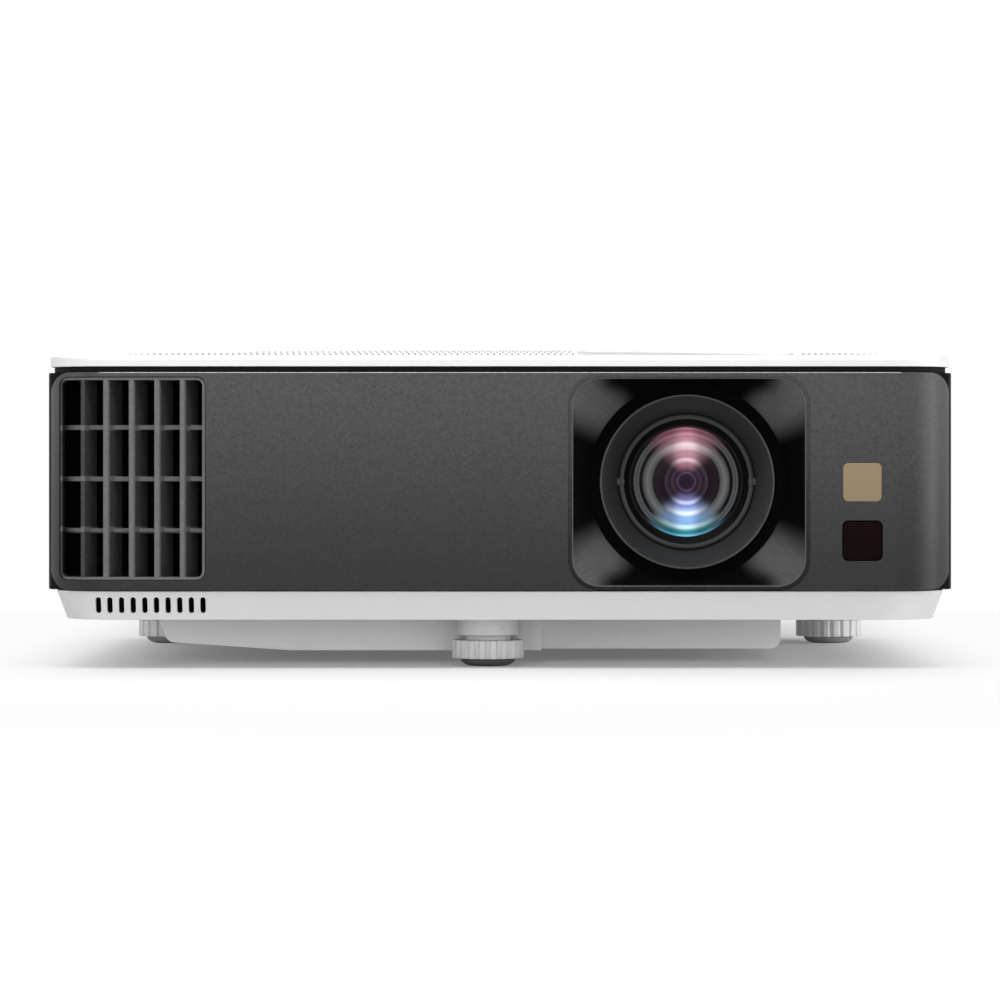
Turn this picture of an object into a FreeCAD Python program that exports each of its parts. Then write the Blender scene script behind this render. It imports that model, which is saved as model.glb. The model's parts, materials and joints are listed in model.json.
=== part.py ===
import FreeCAD, Part

# A home projector: casing, lens, optical engine, lamp, cooling, electronics, sockets, keypad and feet.
#
# Every driving dimension is a cell of the sheet Sizes, in millimetres. The derived places below are
# formulas on those cells, and each sub-part is an object whose sizes are bound to them.
# The frame: +X to the right seen from the front, +Y to the back, +Z up, origin on the table
# under the middle of the casing.

import math
import os
import re
import Sketcher
from FreeCAD import Placement, Rotation, Vector

doc = FreeCAD.newDocument("projector")

# Driving dimensions.
SIZES = {
    # casing
    "body_width": 312, "body_depth": 246, "corner_radius": 22, "overrun": 1,
    "crest_height": 110.2, "crown_radius": 3720, "front_slope_radius": 654, "crest_setback": 75,
    "cover_bottom": 103.5, "cover_wall": 2, "cover_inset": 0.7,
    "shell_top": 101.5, "shell_bottom": 27, "shell_wall": 2.5, "neck_wall": 1.8, "neck_inset": 2,
    "panel_wall": 2.5, "panel_half_width": 154.6, "panel_corner": 7.5, "panel_gap": 0.12,
    "panel_edge": 0.5, "panel_wrap": 14.3, "backing_wall": 2.2,
    "tub_bottom": 16.8, "tub_wall": 2.2, "tub_inset": 2.7, "tub_draft": 3.3, "tub_corner": 20,
    "seam_gap": 0.3, "root_depth": 1,
    # front exhaust grille
    "grille_left": -151, "grille_right": -100.6, "grille_low": 30.6, "grille_high": 99.8,
    "grille_corner": 2.9, "grille_frame": 1, "grille_reach": 16, "vane_first": -143.5,
    "vane_pitch": 8.7, "vane_count": 5, "vane_thickness": 1.6, "vane_depth": 10, "vane_slant": 4.4,
    "bar_middle": 65, "bar_pitch": 17.7, "bar_thickness": 1.7, "bar_setback": 4,
    # left side exhaust grille and right side intake grille
    "side_grille_front": -100, "side_grille_back": -30, "side_vane_pitch": 7, "side_vane_count": 9,
    "side_vane_setback": 0.5, "side_vane_depth": 5,
    "intake_front": -78, "intake_back": 68, "intake_low": 34, "intake_high": 96, "intake_depth": 3,
    "intake_slat_pitch": 6.2, "intake_slat_thickness": 2.2, "intake_slat_count": 9,
    # lens place and bezel
    "lens_x": 64.5, "lens_z": 64, "bezel_width": 80.3, "bezel_height": 71.7, "bezel_corner": 9.6,
    "bezel_hole_radius": 34.4, "bezel_funnel_radius": 50, "bezel_funnel_depth": 11,
    "bezel_tube_depth": 5, "bezel_wall": 1,
    # lens
    "barrel_radius": 30.2, "barrel_wall": 3.1, "hood_front": 14, "hood_length": 17, "lens_fit": 0.05,
    "hood_mouth_radius": 29.4, "hood_cone_depth": 8, "hood_cone_radius": 24, "hood_sleeve": 12,
    "slide_fit": 0.1, "front_lens_radius": 18, "front_lens_edge": 3, "front_lens_bulge": 4,
    "front_lens_setback": 30, "lens_rim": 1, "tube_front": 33, "tube_length": 58,
    "tube_flange_radius": 32, "tube_flange": 4, "ring_radius": 34.5, "ring_width": 11,
    "focus_ring_setback": 35.5, "zoom_ring_setback": 50, "ring_gap": 0.1, "axial_gap": 0.2,
    "rib_width": 1.4, "rib_height": 1.8, "lever_reach": 41.5, "lever_width": 8,
    "lever_thickness": 4, "zoom_lens_radius": 19, "zoom_cell_length": 14, "zoom_cell_setback": 62,
    "zoom_lens_edge": 4, "rear_cell_length": 10, "rear_lens_radius": 15, "rear_lens_edge": 5,
    "rear_lens_bulge": 1.5, "rear_lip": 1,
    # badge and infrared window in the front panel
    "tile_size": 13.2, "tile_x": 123.6, "badge_z": 64, "ir_z": 44, "tile_corner": 1.8,
    "badge_depth": 0.8, "badge_setback": 0.1, "window_gap": 0.3, "window_setback": 0.35,
    # ring recess in the top cover
    "recess_setback": 18, "recess_depth": 45, "recess_width": 74.5, "recess_corner": 5,
    "recess_floor": 100.6, "recess_wall": 1.2, "slot_half_width": 25, "slot_half_depth": 3.2,
    # lamp cover
    "lamp_cover_x": -72, "lamp_cover_y": 8, "lamp_cover_width": 84, "lamp_cover_depth": 90,
    "lamp_cover_corner": 5, "cover_gap": 0.4, "ledge_width": 3, "ledge_bottom": 104.6,
    "ledge_gap": 0.1,
    # keypad
    "keypad_x": 66, "keypad_y": 74, "arrow_offset": 12.5, "key_size": 8, "key_corner": 2.4,
    "key_proud": 0.6, "key_gap": 0.3, "key_bottom": 102.5, "key_flange": 1.2, "flange_gap": 0.2,
    "flange_reach": 1.2, "round_key_radius": 5.5, "side_key_offset": 31, "side_key_spacing": 17,
    "key_board_top": 98.6, "key_board_half_width": 46, "key_board_half_depth": 26,
    "key_board_post_x": 41, "key_board_post_y": 21, "board_thickness": 1.6, "switch_size": 6,
    "switch_height": 3, "light_pipe_radius": 1.2, "light_pipe_y": 96, "light_pipe_pitch": 7,
    "top_ir_x": 66, "top_ir_y": 108, "top_ir_width": 16, "top_ir_depth": 8,
    # bulge under the tub
    "bulge_bottom": 4.5, "bulge_left": -117, "bulge_left_top": -121.2, "bulge_left_bottom": 7.4,
    "bulge_knee": -73.4, "bulge_step": 14.4, "bulge_right": 99.5, "bulge_front": -78,
    "bulge_step_front": -66, "bulge_back": 60, "bulge_wall": 2.2, "bulge_corner": 4,
    # feet
    "front_foot_x": -4.2, "front_foot_y": -93, "rear_foot_x": 127.8, "rear_foot_y": 82,
    "knob_radius": 12.6, "knob_bottom": 2.7, "knob_height": 6.3, "knob_flutes": 20,
    "flute_radius": 0.9, "stem_radius": 7.85, "stem_top": 33, "stem_room": 1.9, "thread_gap": 0.08,
    "foot_tower_radius": 10.9, "foot_tower_top": 36.5, "pad_radius": 9.6, "pad_flat_radius": 5.1,
    "pad_gap": 0.05, "pocket_roof": 10.8,
    # slots in the tub
    "slot_count": 10, "slot_pitch": 3.98, "slot_first": -137.4, "slot_width": 1.8,
    "slot_low": 19.2, "slot_high": 24.6, "slot_round": 0.85,
    # casing screws
    "boss_radius": 4.2, "boss_bore": 3.3, "boss_hole": 1.7, "boss_joint": 54, "boss_floor": 3,
    "screw_radius": 1.5, "screw_gap": 0.05, "screw_head_radius": 2.9, "screw_head": 2.2,
    "screw_length": 12, "front_boss_left_x": -80, "front_boss_left_y": -108,
    "front_boss_right_x": 138, "front_boss_right_y": -104, "rear_boss_x": 138, "rear_boss_y": 106,
    # ceiling mount
    "mount_x": 10, "mount_y": 0, "mount_spacing_x": 130, "mount_spacing_y": 90,
    "insert_radius": 3, "insert_bore": 1.65, "insert_length": 8, "insert_boss_radius": 5.2,
    "insert_floor": 2,
    # rear plate and sockets
    "port_left": -46, "port_right": 116, "port_low": 33, "port_high": 66, "port_corner": 4,
    "port_wall": 2, "port_margin": 2, "board_z": 38,
    "video_x": 12, "video_pitch": 24, "video_width": 15.4, "video_height": 6.4, "video_depth": 12,
    "data_x": -14, "data_width": 14.6, "data_height": 7.2, "data_depth": 14,
    "serial_x": 68, "serial_width": 31, "serial_height": 12.6, "serial_depth": 11,
    "jack_x": 96, "jack_pitch": 12, "jack_radius": 4.2, "jack_bore": 1.8, "jack_depth": 13,
    "socket_proud": 0.8, "socket_wall": 0.7, "socket_gap": 0.25, "socket_back": 1,
    "inlet_x": -98, "inlet_z": 52, "inlet_width": 27.6, "inlet_height": 20, "inlet_depth": 24,
    "inlet_mouth_width": 24.4, "inlet_mouth_height": 16.4, "inlet_mouth_depth": 17,
    "inlet_flange": 1.5, "inlet_rim": 2, "pin_width": 4, "pin_thickness": 2, "pin_length": 10,
    "pin_spacing": 7,
    # optical engine
    "engine_width": 72, "engine_front": -32, "engine_back": 30, "engine_low": 32, "engine_high": 96,
    "engine_wall": 3, "leg_radius": 4, "tunnel_size": 8, "tunnel_length": 32, "tunnel_wall": 1,
    "tunnel_gap": 0.2, "wheel_radius": 22, "wheel_thickness": 1.1, "wheel_hub_radius": 7.5,
    "wheel_hub_length": 2.5, "wheel_gap": 3, "wheel_clear": 0.5, "wheel_drop": 17,
    "motor_radius": 9, "motor_length": 12, "motor_shaft": 1.5, "running_gap": 0.05,
    "arm_gap": 2, "arm_thickness": 3, "arm_width": 10, "chip_board_width": 56,
    "chip_board_height": 50, "chip_size": 20, "heatsink_width": 44, "heatsink_depth": 16,
    "sink_base_thickness": 3, "fin_count": 9, "fin_thickness": 1.4,
    # lamp
    "lamp_left": -104, "lamp_right": -40, "lamp_y": 0, "lamp_half_depth": 33, "lamp_low": 30,
    "lamp_high": 98, "lamp_wall": 2.4, "reflector_radius": 27, "reflector_depth": 34,
    "reflector_wall": 2.4, "reflector_neck": 7, "burner_radius": 3.4, "burner_length": 50,
    "burner_setback": 4,
    # fans
    "fan_size": 60, "fan_depth": 15, "fan_x": -119, "fan_z": 65, "fan_front": -106,
    "fan_rim": 1.6, "blade_gap": 1.4, "fan_hub_radius": 13, "fan_corner": 3,
    "blade_count": 7, "blade_thickness": 1.4, "blade_lean": 8, "intake_fan_size": 64,
    "intake_fan_right": 148, "intake_fan_y": 30, "intake_fan_z": 65, "fan_strut": 3,
    "fan_stator_radius": 12, "fan_stator": 3, "fan_pin_radius": 2, "fan_end_gap": 0.6,
    # boards and speaker
    "main_left": -48, "main_right": 118, "main_front": 62, "main_chip": 18, "chip_height": 2.5,
    "post_inset": 8, "power_left": -130, "power_right": -54, "power_front": 62,
    "power_back": 110, "power_z": 40, "coil_size": 24, "can_radius": 9, "can_height": 28,
    "can_pitch": 22, "standoff_radius": 3, "speaker_radius": 19, "speaker_y": -52,
    "speaker_z": 64, "speaker_depth": 16, "speaker_magnet_radius": 10, "speaker_plate": 3,
    "speaker_edge": 2, "speaker_setback": 10,
}

# Places worked out from them.
PLACES = {
    "half_width": "body_width / 2",
    "front": "-body_depth / 2",
    "back": "body_depth / 2",
    "crest_y": "front + crest_setback",
    "crown_axis_z": "crest_height - crown_radius",
    "tub_top": "shell_bottom - seam_gap",
    "tub_floor": "tub_bottom + tub_wall",
    "bulge_floor": "bulge_bottom + bulge_wall",
    "knob_top": "knob_bottom + knob_height",
    "tube_bore": "barrel_radius - barrel_wall",
    "sleeve_radius": "tube_bore - slide_fit",
    "lens_front": "front + hood_front",
    "hood_back": "lens_front + hood_length",
    "front_lens_face": "front + front_lens_setback",
    "throat_radius": "front_lens_radius - lens_rim + lens_fit",
    "tube_start": "front + tube_front",
    "tube_end": "tube_start + tube_length",
    "rear_cell_front": "tube_end - rear_cell_length",
    "focus_ring_front": "front + focus_ring_setback",
    "zoom_ring_front": "front + zoom_ring_setback",
    "recess_front": "front + recess_setback",
    "recess_back": "recess_front + recess_depth",
    "fan_bore": "fan_size / 2 - fan_rim",
    "fan_rotor_radius": "fan_bore - blade_gap",
    "focus_lever_y": "focus_ring_front + ring_width / 2",
    "zoom_lever_y": "zoom_ring_front + ring_width / 2",
    "zoom_cell_front": "front + zoom_cell_setback",
    "engine_left": "lens_x - engine_width / 2",
    "engine_right": "lens_x + engine_width / 2",
    "tunnel_start": "engine_left - tunnel_length + engine_wall",
    "wheel_x": "tunnel_start - wheel_gap",
    "wheel_z": "lens_z - wheel_drop",
    "plate_face": "back - shell_wall",
    "plate_back": "plate_face - port_wall",
    "main_back": "plate_back - socket_gap",
    "board_top": "board_z + board_thickness",
    "jack_z": "board_top + jack_radius + running_gap",
    "fan_back": "fan_front + fan_depth",
    "intake_fan_left": "intake_fan_right - fan_depth",
}

sheet = doc.addObject("Spreadsheet::Sheet", "Sizes")
for row, (alias, number) in enumerate(SIZES.items(), 1):
    sheet.set(f"A{row}", alias)
    sheet.set(f"B{row}", str(number))
    sheet.setAlias(f"B{row}", alias)
doc.recompute()


def formula(text):
    """The text with each size as its cell of the sheet and each derived place written out."""
    def cell(match):
        word = match.group(0)
        if word in SIZES:
            return "Sizes." + word
        if word in PLACES:
            return "(" + formula(PLACES[word]) + ")"
        return word
    return re.sub(r"[a-z][a-z_]*", cell, str(text))


def number(text):
    """The formula's value now, in millimetres."""
    found = sheet.evalExpression(formula(text))
    return float(getattr(found, "Value", found))


def bind(thing, **formulas):
    for name, text in formulas.items():
        thing.setExpression(name.replace("__", "."), formula(text))


def move(thing, x, y, z):
    bind(thing, Placement__Base__x=x, Placement__Base__y=y, Placement__Base__z=z)


# Solids from primitives.
AXIS_TURNS = {
    "x": Rotation(Vector(0, 1, 0), 90),
    "y": Rotation(Vector(1, 0, 0), -90),
    "z": Rotation(),
}


def box(name, x, y, z):
    """A box between two bounds on each axis, each bound a formula."""
    made = doc.addObject("Part::Box", name)
    bind(made, Length=f"({x[1]}) - ({x[0]})", Width=f"({y[1]}) - ({y[0]})", Height=f"({z[1]}) - ({z[0]})")
    move(made, x[0], y[0], z[0])
    return made


def cylinder(name, axis, at, radius, length):
    """A cylinder from the point at, running length along +axis."""
    made = doc.addObject("Part::Cylinder", name)
    bind(made, Radius=radius, Height=length)
    made.Placement = Placement(Vector(), AXIS_TURNS[axis])
    move(made, *at)
    return made


def cone(name, axis, at, radius, end_radius, length):
    made = doc.addObject("Part::Cone", name)
    bind(made, Radius1=radius, Radius2=end_radius, Height=length)
    made.Placement = Placement(Vector(), AXIS_TURNS[axis])
    move(made, *at)
    return made


def cut(name, base, *tools):
    tool = tools[0] if len(tools) == 1 else fuse(name + "_tools", *tools)
    made = doc.addObject("Part::Cut", name)
    made.Base, made.Tool = base, tool
    return made


def fuse(name, *shapes):
    made = doc.addObject("Part::MultiFuse", name)
    made.Shapes = list(shapes)
    return made


def common(name, *shapes):
    made = doc.addObject("Part::MultiCommon", name)
    made.Shapes = list(shapes)
    return made


def ring(name, axis, at, radius, bore, length):
    return cut(name, cylinder(name + "_outside", axis, at, radius, length),
               cylinder(name + "_bore", axis, at, bore, length))


def group(name, *solids):
    """Several separate solids as one sub-part."""
    made = doc.addObject("Part::Compound", name)
    made.Links = list(solids)
    return made


# Solids from sketches.
PLANES = {"z": ("XY_Plane", 1), "y": ("XZ_Plane", -1), "x": ("YZ_Plane", 1)}


def new_sketch(body, name, axis, offset):
    role, way = PLANES[axis]
    plane = next(o for o in body.Origin.OriginFeatures if o.Role == role)
    made = body.newObject("Sketcher::SketchObject", name)
    made.AttachmentSupport = [(plane, "")]
    made.MapMode = "FlatFace"
    bind(made, AttachmentOffset__Base__z=f"{way} * ({offset})")
    return made


def fix_point(drawing, line, end, at):
    """Ties a sketch point to its two coordinates."""
    for kind, text in zip(("DistanceX", "DistanceY"), at):
        index = drawing.addConstraint(Sketcher.Constraint(kind, -1, 1, line, end, number(text)))
        drawing.setExpression(f"Constraints[{index}]", formula(text))


def draw_outline(drawing, points):
    corners = [Vector(number(a), number(b), 0) for a, b in points]
    for i, corner in enumerate(corners):
        drawing.addGeometry(Part.LineSegment(corner, corners[(i + 1) % len(corners)]), False)
    for i in range(len(corners)):
        drawing.addConstraint(Sketcher.Constraint("Coincident", i, 2, (i + 1) % len(corners), 1))
    for i, point in enumerate(points):
        fix_point(drawing, i, 1, point)


def prism(name, axis, points, low, high, radius=None, corners=None):
    """An outline padded along an axis from low to high. With a radius, the edges along that axis
    are rounded: all of them, or those at the outline points whose numbers are in corners."""
    body = doc.addObject("PartDesign::Body", name)
    start = low if PLANES[axis][1] == 1 else high
    drawing = new_sketch(body, name + "_outline", axis, start)
    draw_outline(drawing, points)
    pad = body.newObject("PartDesign::Pad", name + "_pad")
    pad.Profile = drawing
    bind(pad, Length=f"({high}) - ({low})")
    if radius is None:
        return body
    doc.recompute([drawing, pad])
    wanted = [points[i] for i in corners] if corners is not None else points
    spots = [(number(a), number(b)) for a, b in wanted]
    names = [f"Edge{i}" for i, edge in enumerate(pad.Shape.Edges, 1) if runs_along(edge, axis, spots)]
    rounding = body.newObject("PartDesign::Fillet", name + "_corners")
    rounding.Base = (pad, names)
    bind(rounding, Radius=radius)
    return body


def runs_along(edge, axis, spots):
    """Whether a straight edge runs along the axis through one of the outline's points."""
    keep = {"x": (1, 2), "y": (0, 2), "z": (0, 1)}[axis]
    ends = [v.Point for v in edge.Vertexes]
    if len(ends) != 2:
        return False
    first, last = ([point[k] for k in keep] for point in ends)
    if max(abs(a - b) for a, b in zip(first, last)) > 1e-6:
        return False
    return any(abs(first[0] - a) < 1e-4 and abs(first[1] - b) < 1e-4 for a, b in spots)


def rectangle(a, b):
    """The four corners between two bounds on each of two axes."""
    return [(a[0], b[0]), (a[1], b[0]), (a[1], b[1]), (a[0], b[1])]


def plan_block(name, inset, low, high, radius=None):
    """The casing's plan, drawn in by an inset all round, between two heights."""
    across = (f"-half_width + ({inset})", f"half_width - ({inset})")
    deep = (f"front + ({inset})", f"back - ({inset})")
    radius = radius or f"corner_radius - ({inset})"
    return prism(name, "z", rectangle(across, deep), low, high, radius)


def turned(name, axis, at, points):
    """A profile of (along, radius) points turned about a line along the axis through at."""
    body = doc.addObject("PartDesign::Body", name)
    drawing = body.newObject("Sketcher::SketchObject", name + "_profile")
    plane = next(o for o in body.Origin.OriginFeatures if o.Role == "XY_Plane")
    drawing.AttachmentSupport = [(plane, "")]
    drawing.MapMode = "FlatFace"
    draw_outline(drawing, points)
    spin = body.newObject("PartDesign::Revolution", name + "_turning")
    spin.Profile = drawing
    spin.ReferenceAxis = (drawing, ["H_Axis"])
    spin.Angle = 360
    body.Placement = Placement(Vector(), TURNED_ABOUT[axis])
    move(body, *at)
    return body


TURNED_ABOUT = {
    "x": Rotation(),
    "y": Rotation(Vector(0, 0, 1), 90),
    "z": Rotation(Vector(0, 1, 0), -90),
}


def fluted(name, radius, low, high, flute_radius, count):
    """A round grip about the body's own z axis, with hollow flutes round its rim."""
    body = doc.addObject("PartDesign::Body", name)
    blank = new_sketch(body, name + "_round", "z", low)
    draw_circle(blank, ("0", "0"), radius)
    pad = body.newObject("PartDesign::Pad", name + "_pad")
    pad.Profile = blank
    bind(pad, Length=f"({high}) - ({low})")
    flute_drawing = new_sketch(body, name + "_flute_outline", "z", high)
    draw_circle(flute_drawing, (radius, "0"), flute_radius)
    flute = body.newObject("PartDesign::Pocket", name + "_flute")
    flute.Profile = flute_drawing
    flute.Type = "ThroughAll"
    repeat_round(body, name, flute, blank, count)
    return body


def draw_circle(drawing, at, radius):
    centre = Vector(number(at[0]), number(at[1]), 0)
    drawing.addGeometry(Part.Circle(centre, Vector(0, 0, 1), number(radius)), False)
    fix_point(drawing, 0, 3, at)
    index = drawing.addConstraint(Sketcher.Constraint("Radius", 0, number(radius)))
    drawing.setExpression(f"Constraints[{index}]", formula(radius))


def repeat_round(body, name, feature, drawing, count):
    """Repeats a feature about the normal axis of a sketch."""
    doc.recompute()
    pattern = body.newObject("PartDesign::PolarPattern", name + "_pattern")
    pattern.Originals = [feature]
    pattern.Axis = (drawing, ["N_Axis"])
    pattern.Angle = 360
    bind(pattern, Occurrences=count)
    body.Tip = pattern


def place(thing, axis, *at):
    """Turns a piece that was made about z to another axis and moves it to its place."""
    thing.Placement = Placement(Vector(), AXIS_TURNS[axis])
    move(thing, *at)
    return thing


def front_block(name, across, up, low, high, radius=None):
    """A block seen from the front as a rounded rectangle, from one depth to another."""
    return prism(name, "y", rectangle(across, up), low, high, radius)


def top_block(name, x, y, half_width, half_depth, low, high, radius=None):
    """A block seen from above as a rounded rectangle about a centre."""
    across = (f"{x} - ({half_width})", f"{x} + ({half_width})")
    deep = (f"{y} - ({half_depth})", f"{y} + ({half_depth})")
    return prism(name, "z", rectangle(across, deep), low, high, radius)


kept = []


def keep(name, thing):
    """Names a sub-part after its node."""
    thing.Label = name
    kept.append(thing)
    return thing


# The casing's top follows two gentle curves: a crown across it and a slope at its front.
def crown_profile(name, drop, low):
    """The top's side view, right across the casing: an arc rising to the crest, then level."""
    body = doc.addObject("PartDesign::Body", name)
    drawing = new_sketch(body, name + "_outline", "x", "-half_width - overrun")
    centre = (number("crest_y"), number("crest_height - front_slope_radius"))
    radius = number(f"front_slope_radius - ({drop})")
    ahead, behind = number("front - overrun"), number("back + overrun")
    rise = (radius ** 2 - (centre[0] - ahead) ** 2) ** 0.5
    corners = [Vector(behind, number(low), 0), Vector(ahead, number(low), 0),
               Vector(ahead, centre[1] + rise, 0), Vector(centre[0], centre[1] + radius, 0),
               Vector(behind, centre[1] + radius, 0)]
    drawing.addGeometry(Part.LineSegment(corners[0], corners[1]), False)
    drawing.addGeometry(Part.LineSegment(corners[1], corners[2]), False)
    circle = Part.Circle(Vector(centre[0], centre[1], 0), Vector(0, 0, 1), radius)
    start, end = (circle.parameter(corners[i]) for i in (3, 2))
    drawing.addGeometry(Part.ArcOfCircle(circle, start, end), False)
    drawing.addGeometry(Part.LineSegment(corners[3], corners[4]), False)
    drawing.addGeometry(Part.LineSegment(corners[4], corners[0]), False)
    for first, first_end, second, second_end in ((0, 2, 1, 1), (1, 2, 2, 2), (2, 1, 3, 1), (3, 2, 4, 1),
                                                 (4, 2, 0, 1)):
        drawing.addConstraint(Sketcher.Constraint("Coincident", first, first_end, second, second_end))
    for level in (0, 3):
        drawing.addConstraint(Sketcher.Constraint("Horizontal", level))
    for upright in (1, 4):
        drawing.addConstraint(Sketcher.Constraint("Vertical", upright))
    fix_point(drawing, 0, 1, ("back + overrun", low))
    fix_point(drawing, 2, 3, ("crest_y", "crest_height - front_slope_radius"))
    for kind, line, end, text in (("DistanceX", 0, 2, "front - overrun"), ("DistanceX", 3, 1, "crest_y")):
        index = drawing.addConstraint(Sketcher.Constraint(kind, -1, 1, line, end, number(text)))
        drawing.setExpression(f"Constraints[{index}]", formula(text))
    index = drawing.addConstraint(Sketcher.Constraint("Radius", 2, radius))
    drawing.setExpression(f"Constraints[{index}]", formula(f"front_slope_radius - ({drop})"))
    pad = body.newObject("PartDesign::Pad", name + "_pad")
    pad.Profile = drawing
    bind(pad, Length="body_width + 2 * overrun")
    return body


def crowned(name, inset, drop, low):
    """The casing's plan from a height up to the crowned top, which lies lower by drop."""
    plan = plan_block(name + "_plan", inset, low, "crest_height + overrun")
    crown = cylinder(name + "_crown", "y", ("0", "front - overrun", "crown_axis_z"),
                     f"crown_radius - ({drop})", "body_depth + 2 * overrun")
    return common(name, plan, crown, crown_profile(name + "_slope", drop, low))


under_top = crowned("under_top", "cover_inset + cover_wall", "cover_wall", "boss_joint - overrun")
whole_top = crowned("whole_top", "cover_inset", "0", "boss_joint - overrun")


# The keypad: each key with its place from the middle of the pad, and its look.
KEYS = {
    "ok_key": ("0", "0", "round"), "up_key": ("0", "arrow_offset", "square"),
    "down_key": ("0", "-arrow_offset", "square"), "left_key": ("-arrow_offset", "0", "square"),
    "right_key": ("arrow_offset", "0", "square"),
    "power_key": ("-side_key_offset", "side_key_spacing / 2", "round"),
    "source_key": ("-side_key_offset", "-side_key_spacing / 2", "square"),
    "menu_key": ("side_key_offset", "side_key_spacing / 2", "square"),
    "back_key": ("side_key_offset", "-side_key_spacing / 2", "square"),
}


def key_outline(name, key, grow, low, high):
    """A key's block, or the hole for it when it is grown by the gap."""
    across, deep, look = KEYS[key]
    x, y = f"keypad_x + ({across})", f"keypad_y + ({deep})"
    if look == "round":
        return cylinder(name, "z", (x, y, low), f"round_key_radius + ({grow})", f"({high}) - ({low})")
    half = f"key_size / 2 + ({grow})"
    return top_block(name, x, y, half, half, low, high, f"key_corner + ({grow})")


def crown_at(x):
    """The height of the crown over a place across the casing, behind the crest."""
    return f"(crest_height - (({x}) * ({x})) / (2 * crown_radius))"


def make_key(key):
    """A key cap that ends under the cover in a flange, which stops it from coming out."""
    top = crown_at(f"keypad_x + ({KEYS[key][0]})")
    cap = key_outline(key + "_cap", key, "0", "key_bottom", top + " + key_proud")
    flange_top = f"{top} - cover_wall - flange_gap"
    flange = key_outline(key + "_flange", key, "flange_reach", f"{flange_top} - key_flange", flange_top)
    keep(key, fuse(key, cap, flange))


# Screws that hold the casing together run up through bosses in its four corners.
CASE_SCREWS = [("front_boss_left_x", "front_boss_left_y"), ("front_boss_right_x", "front_boss_right_y"),
               ("-rear_boss_x", "rear_boss_y"), ("rear_boss_x", "rear_boss_y")]
LIGHT_PIPES = [f"keypad_x + {i} * light_pipe_pitch" for i in (-1, 0, 1)]
BOARD_POSTS = [(f"keypad_x + {side} * key_board_post_x", f"keypad_y + {end} * key_board_post_y")
               for side in (-1, 1) for end in (-1, 1)]


def make_top_cover():
    shell = cut("cover_shell", crowned("cover_outside", "cover_inset", "0", "cover_bottom"),
                crowned("cover_inside", "cover_inset + cover_wall", "cover_wall", "cover_bottom - overrun"))
    middle = "(recess_front + recess_back) / 2"
    half_depth = "(recess_back - recess_front) / 2"
    tray = common("tray", whole_top,
                  top_block("tray_block", "lens_x", middle, "recess_width / 2 + recess_wall",
                            f"{half_depth} + recess_wall", "recess_floor - recess_wall",
                            "crest_height + overrun", "recess_corner + recess_wall"))
    tray_room = top_block("tray_room", "lens_x", middle, "recess_width / 2", half_depth, "recess_floor",
                          "crest_height + overrun", "recess_corner")
    lever_slots = [
        box(f"{which}_lever_slot", ("lens_x - slot_half_width", "lens_x + slot_half_width"),
            (f"{place_y} - slot_half_depth", f"{place_y} + slot_half_depth"),
            ("recess_floor - recess_wall - overrun", "recess_floor + overrun"))
        for which, place_y in (("focus", "focus_lever_y"), ("zoom", "zoom_lever_y"))]
    lamp_hole = top_block("lamp_hole", "lamp_cover_x", "lamp_cover_y", "lamp_cover_width / 2 + cover_gap",
                          "lamp_cover_depth / 2 + cover_gap", "ledge_bottom", "crest_height + overrun",
                          "lamp_cover_corner + cover_gap")
    ledge = common("ledge", under_top, cut(
        "ledge_ring",
        top_block("ledge_outside", "lamp_cover_x", "lamp_cover_y", "lamp_cover_width / 2 + ledge_width",
                  "lamp_cover_depth / 2 + ledge_width", "ledge_bottom", "crest_height",
                  "lamp_cover_corner"),
        top_block("ledge_inside", "lamp_cover_x", "lamp_cover_y", "lamp_cover_width / 2 - ledge_width",
                  "lamp_cover_depth / 2 - ledge_width", "ledge_bottom - overrun",
                  "crest_height + overrun", "lamp_cover_corner")))
    ledge_seat = crowned("ledge_seat", "cover_inset + cover_wall", "cover_wall + ledge_gap",
                         "ledge_bottom - overrun")
    posts = [cylinder(f"board_post_{i}", "z", (x, y, "key_board_top"), "standoff_radius",
                      "crest_height - key_board_top") for i, (x, y) in enumerate(BOARD_POSTS)]
    bosses = [cylinder(f"upper_boss_{i}", "z", (x, y, "boss_joint"), "boss_radius",
                       "crest_height - boss_joint") for i, (x, y) in enumerate(CASE_SCREWS)]
    hung = common("hung", under_top, fuse("hung_posts", *posts, *bosses))
    screw_holes = [cylinder(f"upper_screw_hole_{i}", "z", (x, y, "boss_joint - overrun"),
                            "screw_radius + screw_gap", "screw_length")
                   for i, (x, y) in enumerate(CASE_SCREWS)]
    key_holes = [key_outline(key + "_hole", key, "key_gap", "key_board_top", "crest_height + overrun")
                 for key in KEYS]
    pipe_holes = [cylinder(f"pipe_hole_{i}", "z", (x, "light_pipe_y", "key_board_top"),
                           "light_pipe_radius + running_gap", "crest_height - key_board_top + overrun")
                  for i, x in enumerate(LIGHT_PIPES)]
    window_hole = top_block("window_hole", "top_ir_x", "top_ir_y", "top_ir_width / 2 + window_gap",
                            "top_ir_depth / 2 + window_gap", "key_board_top", "crest_height + overrun",
                            "tile_corner")
    lamp_room = cut("lamp_room", lamp_hole, ledge_seat)
    solid = cut("cover_body", fuse("cover_solid", shell, tray, hung), tray_room, *lever_slots, lamp_hole,
                *screw_holes, *key_holes, *pipe_holes, window_hole)
    keep("top_cover", fuse("top_cover", solid, cut("ledge_trimmed", ledge, lamp_room)))


def make_lamp_cover():
    plate = common("lamp_plate", cut("lamp_plate_shell", whole_top,
                                     crowned("lamp_plate_under", "cover_inset + cover_wall", "cover_wall",
                                             "boss_joint - 2 * overrun")),
                   top_block("lamp_plate_block", "lamp_cover_x", "lamp_cover_y", "lamp_cover_width / 2",
                             "lamp_cover_depth / 2", "ledge_bottom", "crest_height + overrun",
                             "lamp_cover_corner"))
    keep("lamp_cover", plate)


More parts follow.
